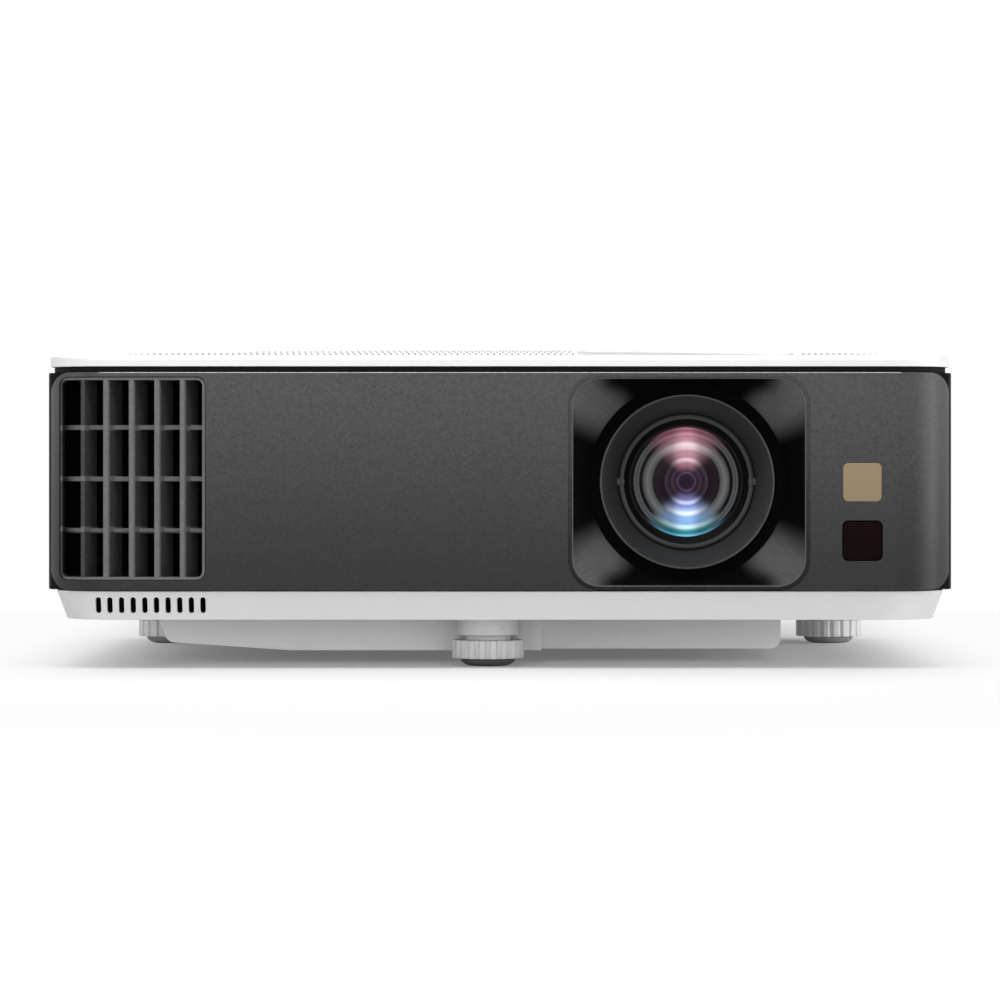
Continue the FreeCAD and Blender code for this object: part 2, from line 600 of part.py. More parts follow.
# The middle of the casing: dark walls all round, open at the top and the bottom.
def make_middle_case():
    walls = plan_block("case_outside", "0", "shell_bottom", "shell_top")
    panel_room = cut("panel_room",
                     box("panel_room_box", ("-half_width - overrun", "half_width + overrun"),
                         ("front - overrun", "front + panel_wrap + panel_gap"),
                         ("shell_bottom - overrun", "shell_top + overrun")),
                     plan_block("panel_room_core", "panel_wall + panel_gap", "shell_bottom - 2 * overrun",
                                "shell_top + 2 * overrun"))
    hollow = plan_block("case_hollow_front", "panel_wall + panel_gap + backing_wall",
                        "shell_bottom - overrun", "shell_top + overrun")
    hollow_back = common("case_hollow_back",
                         plan_block("case_hollow_rest", "shell_wall", "shell_bottom - overrun",
                                    "shell_top + overrun"),
                         box("case_hollow_limit", ("-half_width", "half_width"),
                             ("front + panel_wrap + shell_wall + backing_wall", "back"),
                             ("shell_bottom - overrun", "shell_top + overrun")))
    neck = cut("neck", plan_block("neck_outside", "neck_inset", "shell_top", "cover_bottom"),
               plan_block("neck_inside", "neck_inset + neck_wall", "shell_top - overrun",
                          "cover_bottom + overrun"))
    behind_grille = front_block("behind_grille", ("grille_left - panel_gap", "grille_right + panel_gap"),
                                ("grille_low - panel_gap", "grille_high + panel_gap"),
                                "front - overrun", "front + corner_radius", "grille_corner + panel_gap")
    behind_bezel = front_block("behind_bezel", *bezel_bounds("bezel_wall + panel_gap"),
                               "front", "front + corner_radius", "bezel_corner + bezel_wall + panel_gap")
    sensor_hole = cylinder("sensor_hole", "y", ("tile_x", "front", "ir_z"), "tile_size / 3",
                           "corner_radius")
    side_hole = box("side_hole", ("-half_width - overrun", "-half_width + 2 * shell_wall"),
                    ("side_grille_front - panel_gap", "side_grille_back + panel_gap"),
                    ("grille_low - panel_gap", "grille_high + panel_gap"))
    intake_hole = box("intake_hole", ("half_width - 2 * shell_wall", "half_width + overrun"),
                      ("intake_front - panel_gap", "intake_back + panel_gap"),
                      ("intake_low - panel_gap", "intake_high + panel_gap"))
    port_hole = front_block("port_hole", ("port_left", "port_right"), ("port_low", "port_high"),
                            "back - 2 * shell_wall", "back + overrun", "port_corner")
    inlet_hole = inlet_block("inlet_hole", "socket_gap", "back - 2 * shell_wall", "back + overrun")
    keep("middle_case", cut("middle_case", fuse("case_walls", cut("case_bare", walls, panel_room, hollow,
                                                                  hollow_back), neck),
                            behind_grille, behind_bezel, sensor_hole, side_hole, intake_hole, port_hole,
                            inlet_hole))


def bezel_bounds(grow):
    """The bounds across and up of the lens bezel's mouth, grown all round."""
    return ((f"lens_x - bezel_width / 2 - ({grow})", f"lens_x + bezel_width / 2 + ({grow})"),
            (f"lens_z - bezel_height / 2 - ({grow})", f"lens_z + bezel_height / 2 + ({grow})"))


def tile_bounds(middle_z, grow="0"):
    """The bounds of the small square tiles in the front panel."""
    return ((f"tile_x - tile_size / 2 - ({grow})", f"tile_x + tile_size / 2 + ({grow})"),
            (f"{middle_z} - tile_size / 2 - ({grow})", f"{middle_z} + tile_size / 2 + ({grow})"))


def inlet_block(name, grow, low, high):
    across = (f"inlet_x - inlet_width / 2 - ({grow})", f"inlet_x + inlet_width / 2 + ({grow})")
    up = (f"inlet_z - inlet_height / 2 - ({grow})", f"inlet_z + inlet_height / 2 + ({grow})")
    return front_block(name, across, up, low, high)


# The front: a dark panel whose ends wrap round the casing's corners, and what is set into it.
def make_front_panel():
    skin = cut("panel_skin", plan_block("panel_outside", "0", "shell_bottom", "shell_top"),
               plan_block("panel_inside", "panel_wall", "shell_bottom - overrun", "shell_top + overrun"))
    outline = front_block("panel_outline", ("-panel_half_width", "panel_half_width"),
                          ("shell_bottom", "shell_top"), "front - overrun", "front + panel_wrap",
                          "panel_corner")
    grille_hole = front_block("grille_hole", ("grille_left - panel_gap", "grille_right + panel_gap"),
                              ("grille_low - panel_gap", "grille_high + panel_gap"),
                              "front - overrun", "front + corner_radius", "grille_corner + panel_gap")
    bezel_hole = front_block("bezel_hole", *bezel_bounds("bezel_wall + panel_gap"), "front - overrun",
                             "front + corner_radius", "bezel_corner + bezel_wall + panel_gap")
    badge_pocket = front_block("badge_pocket", *tile_bounds("badge_z"), "front - overrun",
                               "front + badge_depth", "tile_corner")
    window_place = front_block("window_place", *tile_bounds("ir_z", "window_gap"), "front - overrun",
                               "front + corner_radius", "tile_corner + window_gap")
    keep("front_panel", cut("front_panel", common("panel_bent", skin, outline), grille_hole, bezel_hole,
                            badge_pocket, window_place))
    keep("badge_plate", front_block("badge_plate", *tile_bounds("badge_z"), "front + badge_setback",
                                    "front + badge_depth", "tile_corner"))
    keep("front_ir_window", front_block("front_ir_window", *tile_bounds("ir_z"), "front + window_setback",
                                        "front + panel_wall + panel_gap", "tile_corner"))


def plan_skin(name, outer, inner, low, high):
    """A wall that follows the casing's plan between two insets."""
    return cut(name, plan_block(name + "_outside", outer, low, high),
               plan_block(name + "_inside", inner, f"{low} - overrun", f"{high} + overrun"))


def grille_bars(name, x, y):
    """The three level bars that the front and the left grille share."""
    return [box(f"{name}_{i + 2}", x, y, (f"bar_middle + {i} * bar_pitch - bar_thickness / 2",
                                          f"bar_middle + {i} * bar_pitch + bar_thickness / 2"))
            for i in (-1, 0, 1)]


def make_exhaust_grille():
    """A frame, slanted upright vanes that follow the bent front, and level bars behind their edges."""
    mouth = ("front - overrun", "front + grille_reach")
    bounds = (("grille_left", "grille_right"), ("grille_low", "grille_high"))
    inner = [(f"{low} + grille_frame", f"{high} - grille_frame") for low, high in bounds]
    outside = front_block("grille_outside", *bounds, *mouth, "grille_corner")
    inside = front_block("grille_inside", *inner, "front - 2 * overrun", "front + corner_radius",
                         "grille_corner - grille_frame")
    frame = cut("grille_ring", outside, inside)
    vanes = []
    for i in range(SIZES["vane_count"]):
        left = f"vane_first + {i} * vane_pitch - vane_thickness / 2"
        start, end = "front", "front + panel_edge + vane_depth"
        shape = [(left, start), (f"{left} + vane_thickness", start),
                 (f"{left} + vane_thickness + vane_slant", end), (f"{left} + vane_slant", end)]
        vanes.append(prism(f"vane_{i + 1}", "z", shape, "grille_low", "grille_high"))
    bars = common("grille_bars", fuse("grille_bars_long", *grille_bars("grille_bar", bounds[0], mouth)),
                  plan_skin("bar_skin", "panel_edge + bar_setback", "panel_edge + vane_depth",
                            "grille_low", "grille_high"))
    whole = common("grille_whole", fuse("grille_parts", frame, *vanes), outside,
                   plan_skin("grille_skin", "panel_edge", "panel_edge + vane_depth", "grille_low",
                             "grille_high"))
    keep("exhaust_grille", fuse("exhaust_grille", whole, common("grille_bars_in", bars, outside)))


def make_side_grille():
    """Level bars flush with the casing's left side, and upright vanes set back behind their faces."""
    along = ("side_grille_front", "side_grille_back")
    up = ("grille_low", "grille_high")
    thick = ("-half_width", "-half_width + side_vane_depth")
    frame = cut("side_ring", box("side_outside", thick, along, up),
                box("side_inside", ("-half_width - overrun", "-half_width + 2 * side_vane_depth"),
                    ("side_grille_front + grille_frame", "side_grille_back - grille_frame"),
                    ("grille_low + grille_frame", "grille_high - grille_frame")))
    behind = ("-half_width + side_vane_setback", "-half_width + side_vane_depth")
    vanes = []
    for i in range(1, SIZES["side_vane_count"] + 1):
        start = f"side_grille_front + {i} * side_vane_pitch"
        vanes.append(box(f"side_vane_{i}", behind, (start, f"{start} + vane_thickness"), up))
    keep("side_grille", fuse("side_grille", frame, *grille_bars("side_bar", thick, along), *vanes))


def make_intake_grille():
    thick = ("half_width - intake_depth", "half_width")
    along = ("intake_front", "intake_back")
    frame = cut("intake_ring", box("intake_outside", thick, along, ("intake_low", "intake_high")),
                box("intake_inside", ("half_width - 2 * intake_depth", "half_width + overrun"),
                    ("intake_front + grille_frame", "intake_back - grille_frame"),
                    ("intake_low + grille_frame", "intake_high - grille_frame")))
    slats = []
    for i in range(1, SIZES["intake_slat_count"] + 1):
        low = f"intake_low + {i} * intake_slat_pitch"
        slats.append(box(f"slat_{i}", thick, along, (low, f"{low} + intake_slat_thickness")))
    keep("intake_grille", fuse("intake_grille", frame, *slats))


def make_lens_bezel():
    """A rounded rectangular mouth whose corners slope in to a round hole, with a short tube behind."""
    rim, end = "front + panel_edge", "front + bezel_funnel_depth"
    block = front_block("bezel_block", *bezel_bounds("bezel_wall"), rim, end, "bezel_corner + bezel_wall")
    mouth = front_block("bezel_mouth", *bezel_bounds("0"), "front", f"{end} + overrun", "bezel_corner")
    funnel = cone("bezel_funnel", "y", ("lens_x", rim, "lens_z"), "bezel_funnel_radius",
                  "bezel_hole_radius", "bezel_funnel_depth - panel_edge")
    centre = ("lens_x", "front", "lens_z")
    hole = cylinder("bezel_hole_through", "y", centre, "bezel_hole_radius", "bezel_funnel_depth + overrun")
    tube = ring("bezel_tube", "y", ("lens_x", end, "lens_z"), "bezel_hole_radius + bezel_wall",
                "bezel_hole_radius", "bezel_tube_depth")
    keep("lens_bezel", fuse("lens_bezel", cut("bezel_bowl", block, common("bezel_hollow", mouth, funnel),
                                              hole), tube))


# The bottom: a white tub with tapering sides, a bulge under it, and everything that stands on them.
def draw_rounded(drawing, across, deep, radius):
    """A rectangle with round corners: four arcs, with a line from each to the next."""
    corners = [(across[1], "-", deep[0], "+"), (across[1], "-", deep[1], "-"),
               (across[0], "+", deep[1], "-"), (across[0], "+", deep[0], "+")]
    centres = [(f"{x} {a} ({radius})", f"{y} {b} ({radius})") for x, a, y, b in corners]
    size = number(radius)
    arcs = []
    for i, centre in enumerate(centres):
        circle = Part.Circle(Vector(number(centre[0]), number(centre[1]), 0), Vector(0, 0, 1), size)
        start = math.pi / 2 * (i - 1)
        arcs.append(Part.ArcOfCircle(circle, start, start + math.pi / 2))
    for arc in arcs:
        drawing.addGeometry(arc, False)
    count = len(arcs)
    for i, arc in enumerate(arcs):
        line = Part.LineSegment(arc.EndPoint, arcs[(i + 1) % count].StartPoint)
        drawing.addGeometry(line, False)
    for i, centre in enumerate(centres):
        drawing.addConstraint(Sketcher.Constraint("Tangent", i, 2, count + i, 1))
        drawing.addConstraint(Sketcher.Constraint("Tangent", count + i, 2, (i + 1) % count, 1))
        fix_point(drawing, i, 3, centre)
        index = drawing.addConstraint(Sketcher.Constraint("Radius", i, size))
        drawing.setExpression(f"Constraints[{index}]", formula(radius))


def tapered_plan(name, inset, low, high):
    """The tub's block between two heights: its plan is drawn in at the bottom by the taper."""
    body = doc.addObject("PartDesign::Body", name)
    drawings = []
    for end, level in (("top", high), ("bottom", low)):
        narrow = f"(tub_inset + ({inset}) + tub_draft * (tub_top - ({level})) / (tub_top - tub_bottom))"
        drawings.append(new_sketch(body, f"{name}_{end}", "z", level))
        draw_rounded(drawings[-1], (f"-half_width + {narrow}", f"half_width - {narrow}"),
                     (f"front + {narrow}", f"back - {narrow}"), f"tub_corner - ({inset})")
    loft = body.newObject("PartDesign::AdditiveLoft", name + "_loft")
    loft.Profile = drawings[0]
    loft.Sections = [drawings[1]]
    loft.Ruled = True
    return body


def bulge_left(name, inset, low_inset, top):
    """The bulge's longer left part: a prism with a slanted end and a bottom that slopes up to it."""
    shape = [(f"bulge_left_top + ({inset})", top),
             (f"bulge_left + ({inset})", f"bulge_left_bottom + ({low_inset})"),
             (f"bulge_knee + ({inset})", f"bulge_bottom + ({low_inset})"),
             (f"bulge_step - ({inset})", f"bulge_bottom + ({low_inset})"),
             (f"bulge_step - ({inset})", top)]
    return prism(name, "y", shape, f"bulge_front + ({inset})", f"bulge_back - ({inset})",
                 f"bulge_corner - ({inset})", corners=[1])


def bulge_right(name, inset, low_inset, top):
    across = ("bulge_step - 2 * bulge_corner", f"bulge_right - ({inset})")
    shape = rectangle(across, (f"bulge_bottom + ({low_inset})", top))
    return prism(name, "y", shape, f"bulge_step_front + ({inset})", f"bulge_back - ({inset})",
                 f"bulge_corner - ({inset})", corners=[1])


FEET = {"front": ("front_foot_x", "front_foot_y"), "left": ("-rear_foot_x", "rear_foot_y"),
        "right": ("rear_foot_x", "rear_foot_y")}
MOUNT_SPOTS = [(f"mount_x + {i} * mount_spacing_x / 2", f"mount_y + {j} * mount_spacing_y / 2")
               for i in (-1, 1) for j in (-1, 1)]
ENGINE_LEGS = [(f"lens_x + {i} * (engine_width / 2 - 2 * leg_radius)", f"{y} + {j} * leg_radius")
               for i in (-1, 1) for y, j in (("engine_front", 1), ("engine_back", -1))]
LAMP_LEGS = [(f"{x} + {i} * leg_radius", f"lamp_y + {j} * (lamp_half_depth - leg_radius)")
             for x, i in (("lamp_right", -1), ("lamp_left", 1)) for j in (-1, 1)]
MAIN_POSTS = [(f"{x} + {i} * post_inset", f"{y} + {j} * post_inset")
              for x, i in (("main_left", 1), ("main_right", -1))
              for y, j in (("main_front", 1), ("main_back", -1))]
POWER_POSTS = [(f"{x} + {i} * post_inset", f"{y} + {j} * post_inset")
               for x, i in (("power_left", 1), ("power_right", -1))
               for y, j in (("power_front", 1), ("power_back", -1))]
FAN_POSTS = [(f"fan_x + {i} * (fan_size / 2 - leg_radius)", "(fan_front + fan_back) / 2") for i in (-1, 1)]
INTAKE_POSTS = [("(intake_fan_left + intake_fan_right) / 2",
                 f"intake_fan_y + {i} * (intake_fan_size / 2 - leg_radius)") for i in (-1, 1)]


def posts(name, spots, low, high, radius="leg_radius"):
    """An upright cylinder at each of several spots, between two heights."""
    return [cylinder(f"{name}_{i}", "z", (x, y, low), radius, f"({high}) - ({low})")
            for i, (x, y) in enumerate(spots)]


def make_bottom_case():
    tub = cut("tub", tapered_plan("tub_outside", "0", "tub_bottom", "tub_top"),
              tapered_plan("tub_inside", "tub_wall", "tub_floor", "tub_top + overrun"))
    bulge = fuse("bulge_outside", bulge_left("bulge_left_outside", "0", "0", "tub_floor"),
                 bulge_right("bulge_right_outside", "0", "0", "tub_floor"))
    room = fuse("bulge_room", bulge_left("bulge_left_inside", "bulge_wall", "bulge_wall", "tub_top"),
                bulge_right("bulge_right_inside", "bulge_wall", "bulge_wall", "tub_top"))
    standing = (posts("engine_leg", ENGINE_LEGS, "bulge_floor - root_depth", "engine_low")
                + posts("right_lamp_leg", LAMP_LEGS[:2], "bulge_floor - root_depth", "lamp_low")
                + posts("left_lamp_leg", LAMP_LEGS[2:], "bulge_left_bottom", "lamp_low")
                + posts("main_post", MAIN_POSTS, "tub_floor - root_depth", "board_z")
                + posts("power_post", POWER_POSTS, "tub_floor - root_depth", "power_z")
                + posts("fan_post", FAN_POSTS, "tub_floor - root_depth", "fan_z - fan_size / 2")
                + posts("intake_post", INTAKE_POSTS, "tub_floor - root_depth",
                        "intake_fan_z - intake_fan_size / 2"))
    feet = list(FEET.values())
    towers = posts("foot_tower", feet, "pocket_roof", "foot_tower_top", "foot_tower_radius")
    bores = posts("foot_tower_bore", feet, "pocket_roof - overrun", "stem_top + stem_room",
                  "stem_radius + thread_gap")
    under_head = "boss_joint - boss_floor"
    bosses = posts("lower_boss", CASE_SCREWS, "tub_bottom", "boss_joint", "boss_radius")
    wells = posts("screw_well", CASE_SCREWS, "tub_bottom - overrun", under_head, "boss_bore")
    holes = posts("lower_screw_hole", CASE_SCREWS, under_head + " - overrun", "boss_joint + overrun",
                  "boss_hole")
    insert_bosses = posts("insert_boss", MOUNT_SPOTS, "bulge_bottom",
                          "bulge_bottom + insert_length + insert_floor", "insert_boss_radius")
    insert_holes = posts("insert_hole", MOUNT_SPOTS, "bulge_bottom - overrun",
                         "bulge_bottom + insert_length", "insert_radius")
    slots = [front_block(f"slot_{i}", (f"slot_first + {i} * slot_pitch - slot_width / 2",
                                       f"slot_first + {i} * slot_pitch + slot_width / 2"),
                         ("slot_low", "slot_high"), "front", "front + tub_inset + tub_draft + 2 * tub_wall",
                         "slot_round") for i in range(SIZES["slot_count"])]
    shell = cut("lower_shell", fuse("lower_solid", tub, bulge), room, *slots)
    keep("bottom_case", cut("bottom_case", fuse("lower_full", shell, *standing, *towers, *bosses,
                                                *insert_bosses), *bores, *wells, *holes, *insert_holes))
    keep("mount_inserts", group("mount_inserts", *[
        ring(f"insert_{i}", "z", (x, y, "bulge_bottom"), "insert_radius", "insert_bore", "insert_length")
        for i, (x, y) in enumerate(MOUNT_SPOTS)]))
    screws = []
    for i, (x, y) in enumerate(CASE_SCREWS):
        head = cylinder(f"screw_head_{i}", "z", (x, y, "boss_joint - boss_floor - screw_head"),
                        "screw_head_radius", "screw_head")
        shank = cylinder(f"screw_shank_{i}", "z", (x, y, "boss_joint - boss_floor - screw_head"),
                         "screw_radius", "screw_head + screw_length")
        screws.append(fuse(f"case_screw_{i}", head, shank))
    keep("case_screws", group("case_screws", *screws))


# Each foot is a fluted knob on a threaded stem, with a rubber pad under it.
def make_feet():
    for which, (x, y) in FEET.items():
        grip = fluted(f"{which}_grip", "knob_radius", "knob_bottom", "knob_top", "flute_radius",
                      "knob_flutes")
        place(grip, "z", x, y, "0")
        stem = cylinder(f"{which}_stem", "z", (x, y, "knob_bottom"), "stem_radius",
                        "stem_top - knob_bottom")
        keep(f"{which}_foot_knob", fuse(f"{which}_foot_knob", grip, stem))
        keep(f"{which}_foot_pad", cone(f"{which}_foot_pad", "z", (x, y, "0"), "pad_flat_radius",
                                       "pad_radius", "knob_bottom - pad_gap"))


# The lens: a fixed tube, a hood that slides for focus, a cell that slides for zoom, and two rings.
def make_lens():
    axis = ("lens_x", "0", "lens_z")
    bore, wide, lip = "tube_bore", "barrel_radius", "rear_lens_radius - lens_rim + lens_fit"
    tube = turned("tube_turned", "y", axis, [
        ("tube_start", bore), ("rear_cell_front", bore), ("rear_cell_front", lip),
        ("rear_cell_front + rear_lip", lip),
        ("rear_cell_front + rear_lip", "rear_lens_radius + lens_fit"),
        ("tube_end", "rear_lens_radius + lens_fit"),
        ("tube_end", "tube_flange_radius"), ("tube_end - tube_flange", "tube_flange_radius"),
        ("tube_end - tube_flange", wide), ("tube_start", wide)])
    ribs = [ring(f"tube_rib_{i}", "y", ("lens_x", y, "lens_z"), "barrel_radius + rib_height",
                 "barrel_radius - overrun", "rib_width")
            for i, y in enumerate(("focus_ring_front - rib_width - axial_gap",
                                   "focus_ring_front + ring_width + axial_gap",
                                   "zoom_ring_front - rib_width - axial_gap",
                                   "zoom_ring_front + ring_width + axial_gap"))]
    keep("lens_tube", fuse("lens_tube", tube, *ribs))
    for which in ("focus", "zoom"):
        start = f"{which}_ring_front"
        turning = cylinder(f"{which}_turning", "y", ("lens_x", start, "lens_z"), "ring_radius",
                           "ring_width")
        lever = box(f"{which}_lever", ("lens_x - lever_width / 2", "lens_x + lever_width / 2"),
                    (f"{which}_lever_y - lever_thickness / 2", f"{which}_lever_y + lever_thickness / 2"),
                    ("lens_z", "lens_z + lever_reach"))
        opening = cylinder(f"{which}_opening", "y", ("lens_x", f"{start} - overrun", "lens_z"),
                           "barrel_radius + ring_gap", "ring_width + 2 * overrun")
        keep(f"{which}_ring", cut(f"{which}_ring", fuse(f"{which}_solid", turning, lever), opening))
    hood = turned("lens_hood", "y", axis, [
        ("lens_front", wide), ("hood_back", wide), ("hood_back", "sleeve_radius"),
        ("hood_back + hood_sleeve", "sleeve_radius"),
        ("hood_back + hood_sleeve", "front_lens_radius + lens_fit"),
        ("front_lens_face - lens_fit", "front_lens_radius + lens_fit"),
        ("front_lens_face - lens_fit", "throat_radius"),
        ("lens_front + hood_cone_depth", "hood_cone_radius"), ("lens_front", "hood_mouth_radius")])
    keep("lens_hood", hood)
    keep("front_lens", lens("front_lens", "front_lens_radius", "front_lens_face", "front_lens_edge",
                            "front_lens_bulge"))
    keep("zoom_cell", ring("zoom_cell", "y", ("lens_x", "zoom_cell_front", "lens_z"), "sleeve_radius",
                           "zoom_lens_radius + lens_fit", "zoom_cell_length"))
    keep("zoom_lens", lens("zoom_lens", "zoom_lens_radius", "zoom_cell_front + front_lens_bulge",
                           "zoom_lens_edge", "front_lens_bulge"))
    keep("rear_lens", lens("rear_lens", "rear_lens_radius", "rear_cell_front + rear_lip + lens_fit",
                           "rear_lens_edge", "rear_lens_bulge"))


def lens(name, radius, face, edge, bulge):
    """A round glass element: a rim of one width, with a domed face towards the front."""
    rim = cylinder(name + "_rim", "y", ("lens_x", face, "lens_z"), radius, edge)
    dome = f"({radius} - lens_rim)"
    dome_radius = f"(({dome} * {dome} + ({bulge}) * ({bulge})) / (2 * ({bulge})))"
    ball = doc.addObject("Part::Sphere", name + "_ball")
    bind(ball, Radius=dome_radius)
    move(ball, "lens_x", f"{face} - ({bulge}) + {dome_radius}", "lens_z")
    ahead = cylinder(name + "_ahead", "y", ("lens_x", f"{face} - ({bulge}) - overrun", "lens_z"), dome,
                     f"({bulge}) + overrun + ({edge}) / 2")
    return fuse(name, rim, common(name + "_dome", ahead, ball))


# The optical engine: a box behind the lens, with the light tunnel coming in from the lamp's side.
def make_engine():
    x, y = ("engine_left", "engine_right"), ("engine_front", "engine_back")
    z = ("engine_low", "engine_high")
    inner = [(f"{low} + engine_wall", f"{high} - engine_wall") for low, high in (x, y, z)]
    reach = "tunnel_size / 2 + tunnel_wall + tunnel_gap"
    window = box("tunnel_window", ("engine_left - overrun", "engine_left + 2 * engine_wall"),
                 (f"lamp_y - ({reach})", f"lamp_y + {reach}"), (f"lens_z - ({reach})", f"lens_z + {reach}"))
    light_hole = cylinder("light_hole", "y", ("lens_x", "engine_front - overrun", "lens_z"), "tube_bore",
                          "2 * engine_wall")
    chip_reach = "chip_size / 2 + socket_gap"
    chip_hole = front_block("chip_hole", (f"lens_x - ({chip_reach})", f"lens_x + {chip_reach}"),
                            (f"lens_z - ({chip_reach})", f"lens_z + {chip_reach}"),
                            "engine_back - 2 * engine_wall", "engine_back + overrun")
    keep("engine_housing", cut("engine_housing", box("engine_outside", x, y, z),
                               box("engine_inside", *inner), window, light_hole, chip_hole))
    start, end = "tunnel_start", "tunnel_start + tunnel_length"
    inside, outside = ([(f"{middle} - ({reach})", f"{middle} + {reach}") for middle in ("lamp_y", "lens_z")]
                       for reach in ("tunnel_size / 2", "tunnel_size / 2 + tunnel_wall"))
    keep("light_tunnel", cut("light_tunnel", box("tunnel_outside", (start, end), *outside),
                             box("tunnel_inside", (f"{start} - overrun", f"{end} + overrun"), *inside)))
    wheel_centre = ("wheel_x", "lamp_y", "wheel_z")
    keep("colour_wheel", cut("colour_wheel", fuse(
        "wheel_solid", cylinder("wheel_disc", "x", wheel_centre, "wheel_radius", "wheel_thickness"),
        cylinder("wheel_hub", "x", wheel_centre, "wheel_hub_radius", "wheel_hub_length")),
        cylinder("wheel_bore", "x", ("wheel_x - overrun", "lamp_y", "wheel_z"), "motor_shaft + running_gap",
                 "wheel_hub_length + 2 * overrun")))
    motor_back = "(wheel_x - motor_length - wheel_clear)"
    motor = cylinder("motor_can", "x", (motor_back, "lamp_y", "wheel_z"), "motor_radius", "motor_length")
    shaft = cylinder("motor_pin", "x", (motor_back, "lamp_y", "wheel_z"), "motor_shaft",
                     "motor_length + wheel_clear + wheel_hub_length")
    arm_y = "lamp_y + wheel_radius + arm_gap"
    arm = box("motor_arm", (f"{motor_back} - arm_thickness", "engine_left"),
              (arm_y, f"{arm_y} + arm_thickness"),
              ("wheel_z - arm_width / 2", "wheel_z + arm_width / 2"))
    plate = box("motor_plate", (f"{motor_back} - arm_thickness", motor_back),
                ("lamp_y - motor_radius", f"{arm_y} + arm_thickness"),
                ("wheel_z - arm_width / 2", "wheel_z + arm_width / 2"))
    keep("wheel_motor", fuse("wheel_motor", motor, shaft, arm, plate))
    chip = front_block("chip", ("lens_x - chip_size / 2", "lens_x + chip_size / 2"),
                       ("lens_z - chip_size / 2", "lens_z + chip_size / 2"),
                       "engine_back - engine_wall / 2", "engine_back + overrun")
    board = front_block("chip_board_plate",
                        ("lens_x - chip_board_width / 2", "lens_x + chip_board_width / 2"),
                        ("lens_z - chip_board_height / 2", "lens_z + chip_board_height / 2"),
                        "engine_back", "engine_back + board_thickness")
    keep("chip_board", fuse("chip_board", chip, board))
    sink_front = "engine_back + board_thickness"
    base = box("sink_base", ("lens_x - heatsink_width / 2", "lens_x + heatsink_width / 2"),
               (sink_front, f"{sink_front} + sink_base_thickness"),
               ("lens_z - heatsink_width / 2", "lens_z + heatsink_width / 2"))
    gap = "(heatsink_width - fin_thickness) / (fin_count - 1)"
    fins = [box(f"fin_{i}", (f"lens_x - heatsink_width / 2 + {i} * {gap}",
                             f"lens_x - heatsink_width / 2 + {i} * {gap} + fin_thickness"),
                (sink_front, f"{sink_front} + heatsink_depth"),
                ("lens_z - heatsink_width / 2", "lens_z + heatsink_width / 2"))
            for i in range(SIZES["fin_count"])]
    keep("heatsink", fuse("heatsink", base, *fins))


# The lamp: a quartz tube in a bowl-shaped reflector, in a housing under the lamp cover.
def make_lamp():
    x, z = ("lamp_left", "lamp_right"), ("lamp_low", "lamp_high")
    y = ("lamp_y - lamp_half_depth", "lamp_y + lamp_half_depth")
    inner = [("lamp_left - overrun", "lamp_right + overrun"),
             (f"{y[0]} + lamp_wall", f"{y[1]} - lamp_wall"),
             ("lamp_low + lamp_wall", "lamp_high - lamp_wall")]
    openings = (("lamp_left", "reflector_neck + lens_fit"),
                ("lamp_right - lamp_wall", "reflector_radius - reflector_wall"))
    ends = [cut(f"lamp_end_{i}", box(f"lamp_end_plate_{i}", (start, f"{start} + lamp_wall"), y, z),
                cylinder(f"lamp_end_hole_{i}", "x", (f"{start} - overrun", "lamp_y", "lens_z"), radius,
                         "lamp_wall + 2 * overrun"))
            for i, (start, radius) in enumerate(openings)]
    sleeve = cut("lamp_sleeve", box("lamp_outside", x, y, z), box("lamp_inside", *inner))
    keep("lamp_housing", fuse("lamp_housing", sleeve, *ends))
    mouth = "lamp_right - lamp_wall"
    deep = f"{mouth} - reflector_depth"
    bend, wide_bend = f"{deep} + reflector_depth / 3", "reflector_radius * 3 / 4"
    keep("lamp_reflector", turned("lamp_reflector", "x", ("0", "lamp_y", "lens_z"), [
        (mouth, "reflector_radius"), (bend, wide_bend), (deep, "reflector_neck"),
        ("lamp_left", "reflector_neck"), ("lamp_left", "burner_radius + lens_fit"),
        (f"{deep} + reflector_wall", "burner_radius + lens_fit"),
        (f"{bend} + reflector_wall", f"{wide_bend} - reflector_wall"),
        (mouth, "reflector_radius - reflector_wall")]))
    keep("lamp_burner", cylinder("lamp_burner", "x", ("lamp_left + burner_setback", "lamp_y", "lens_z"),
                                 "burner_radius", "burner_length"))


# A cooling fan: a square frame with a pin on struts, and a rotor that turns on the pin.
def fan_frame(name, size):
    """A frame about the z axis, from its own origin up to the fan's depth."""
    half = f"{size} / 2"
    block = top_block(name + "_block", "0", "0", half, half, "0", "fan_depth", "fan_corner")
    hole = cylinder(name + "_hole", "z", ("0", "0", "-overrun"), "fan_bore", "fan_depth + 2 * overrun")
    hub = cylinder(name + "_stator", "z", ("0", "0", "0"), "fan_stator_radius", "fan_stator")
    pin = cylinder(name + "_pin", "z", ("0", "0", "0"), "fan_pin_radius", "fan_depth - fan_end_gap")
    struts = [box(f"{name}_strut_{i}", x, y, ("0", "fan_stator"))
              for i, (x, y) in enumerate(((("-fan_bore - fan_strut / 4", "fan_bore + fan_strut / 4"),
                                           ("-fan_strut / 2", "fan_strut / 2")),
                                          (("-fan_strut / 2", "fan_strut / 2"),
                                           ("-fan_bore - fan_strut / 4", "fan_bore + fan_strut / 4"))))]
    return fuse(name, cut(name + "_square", block, hole), hub, pin, *struts)


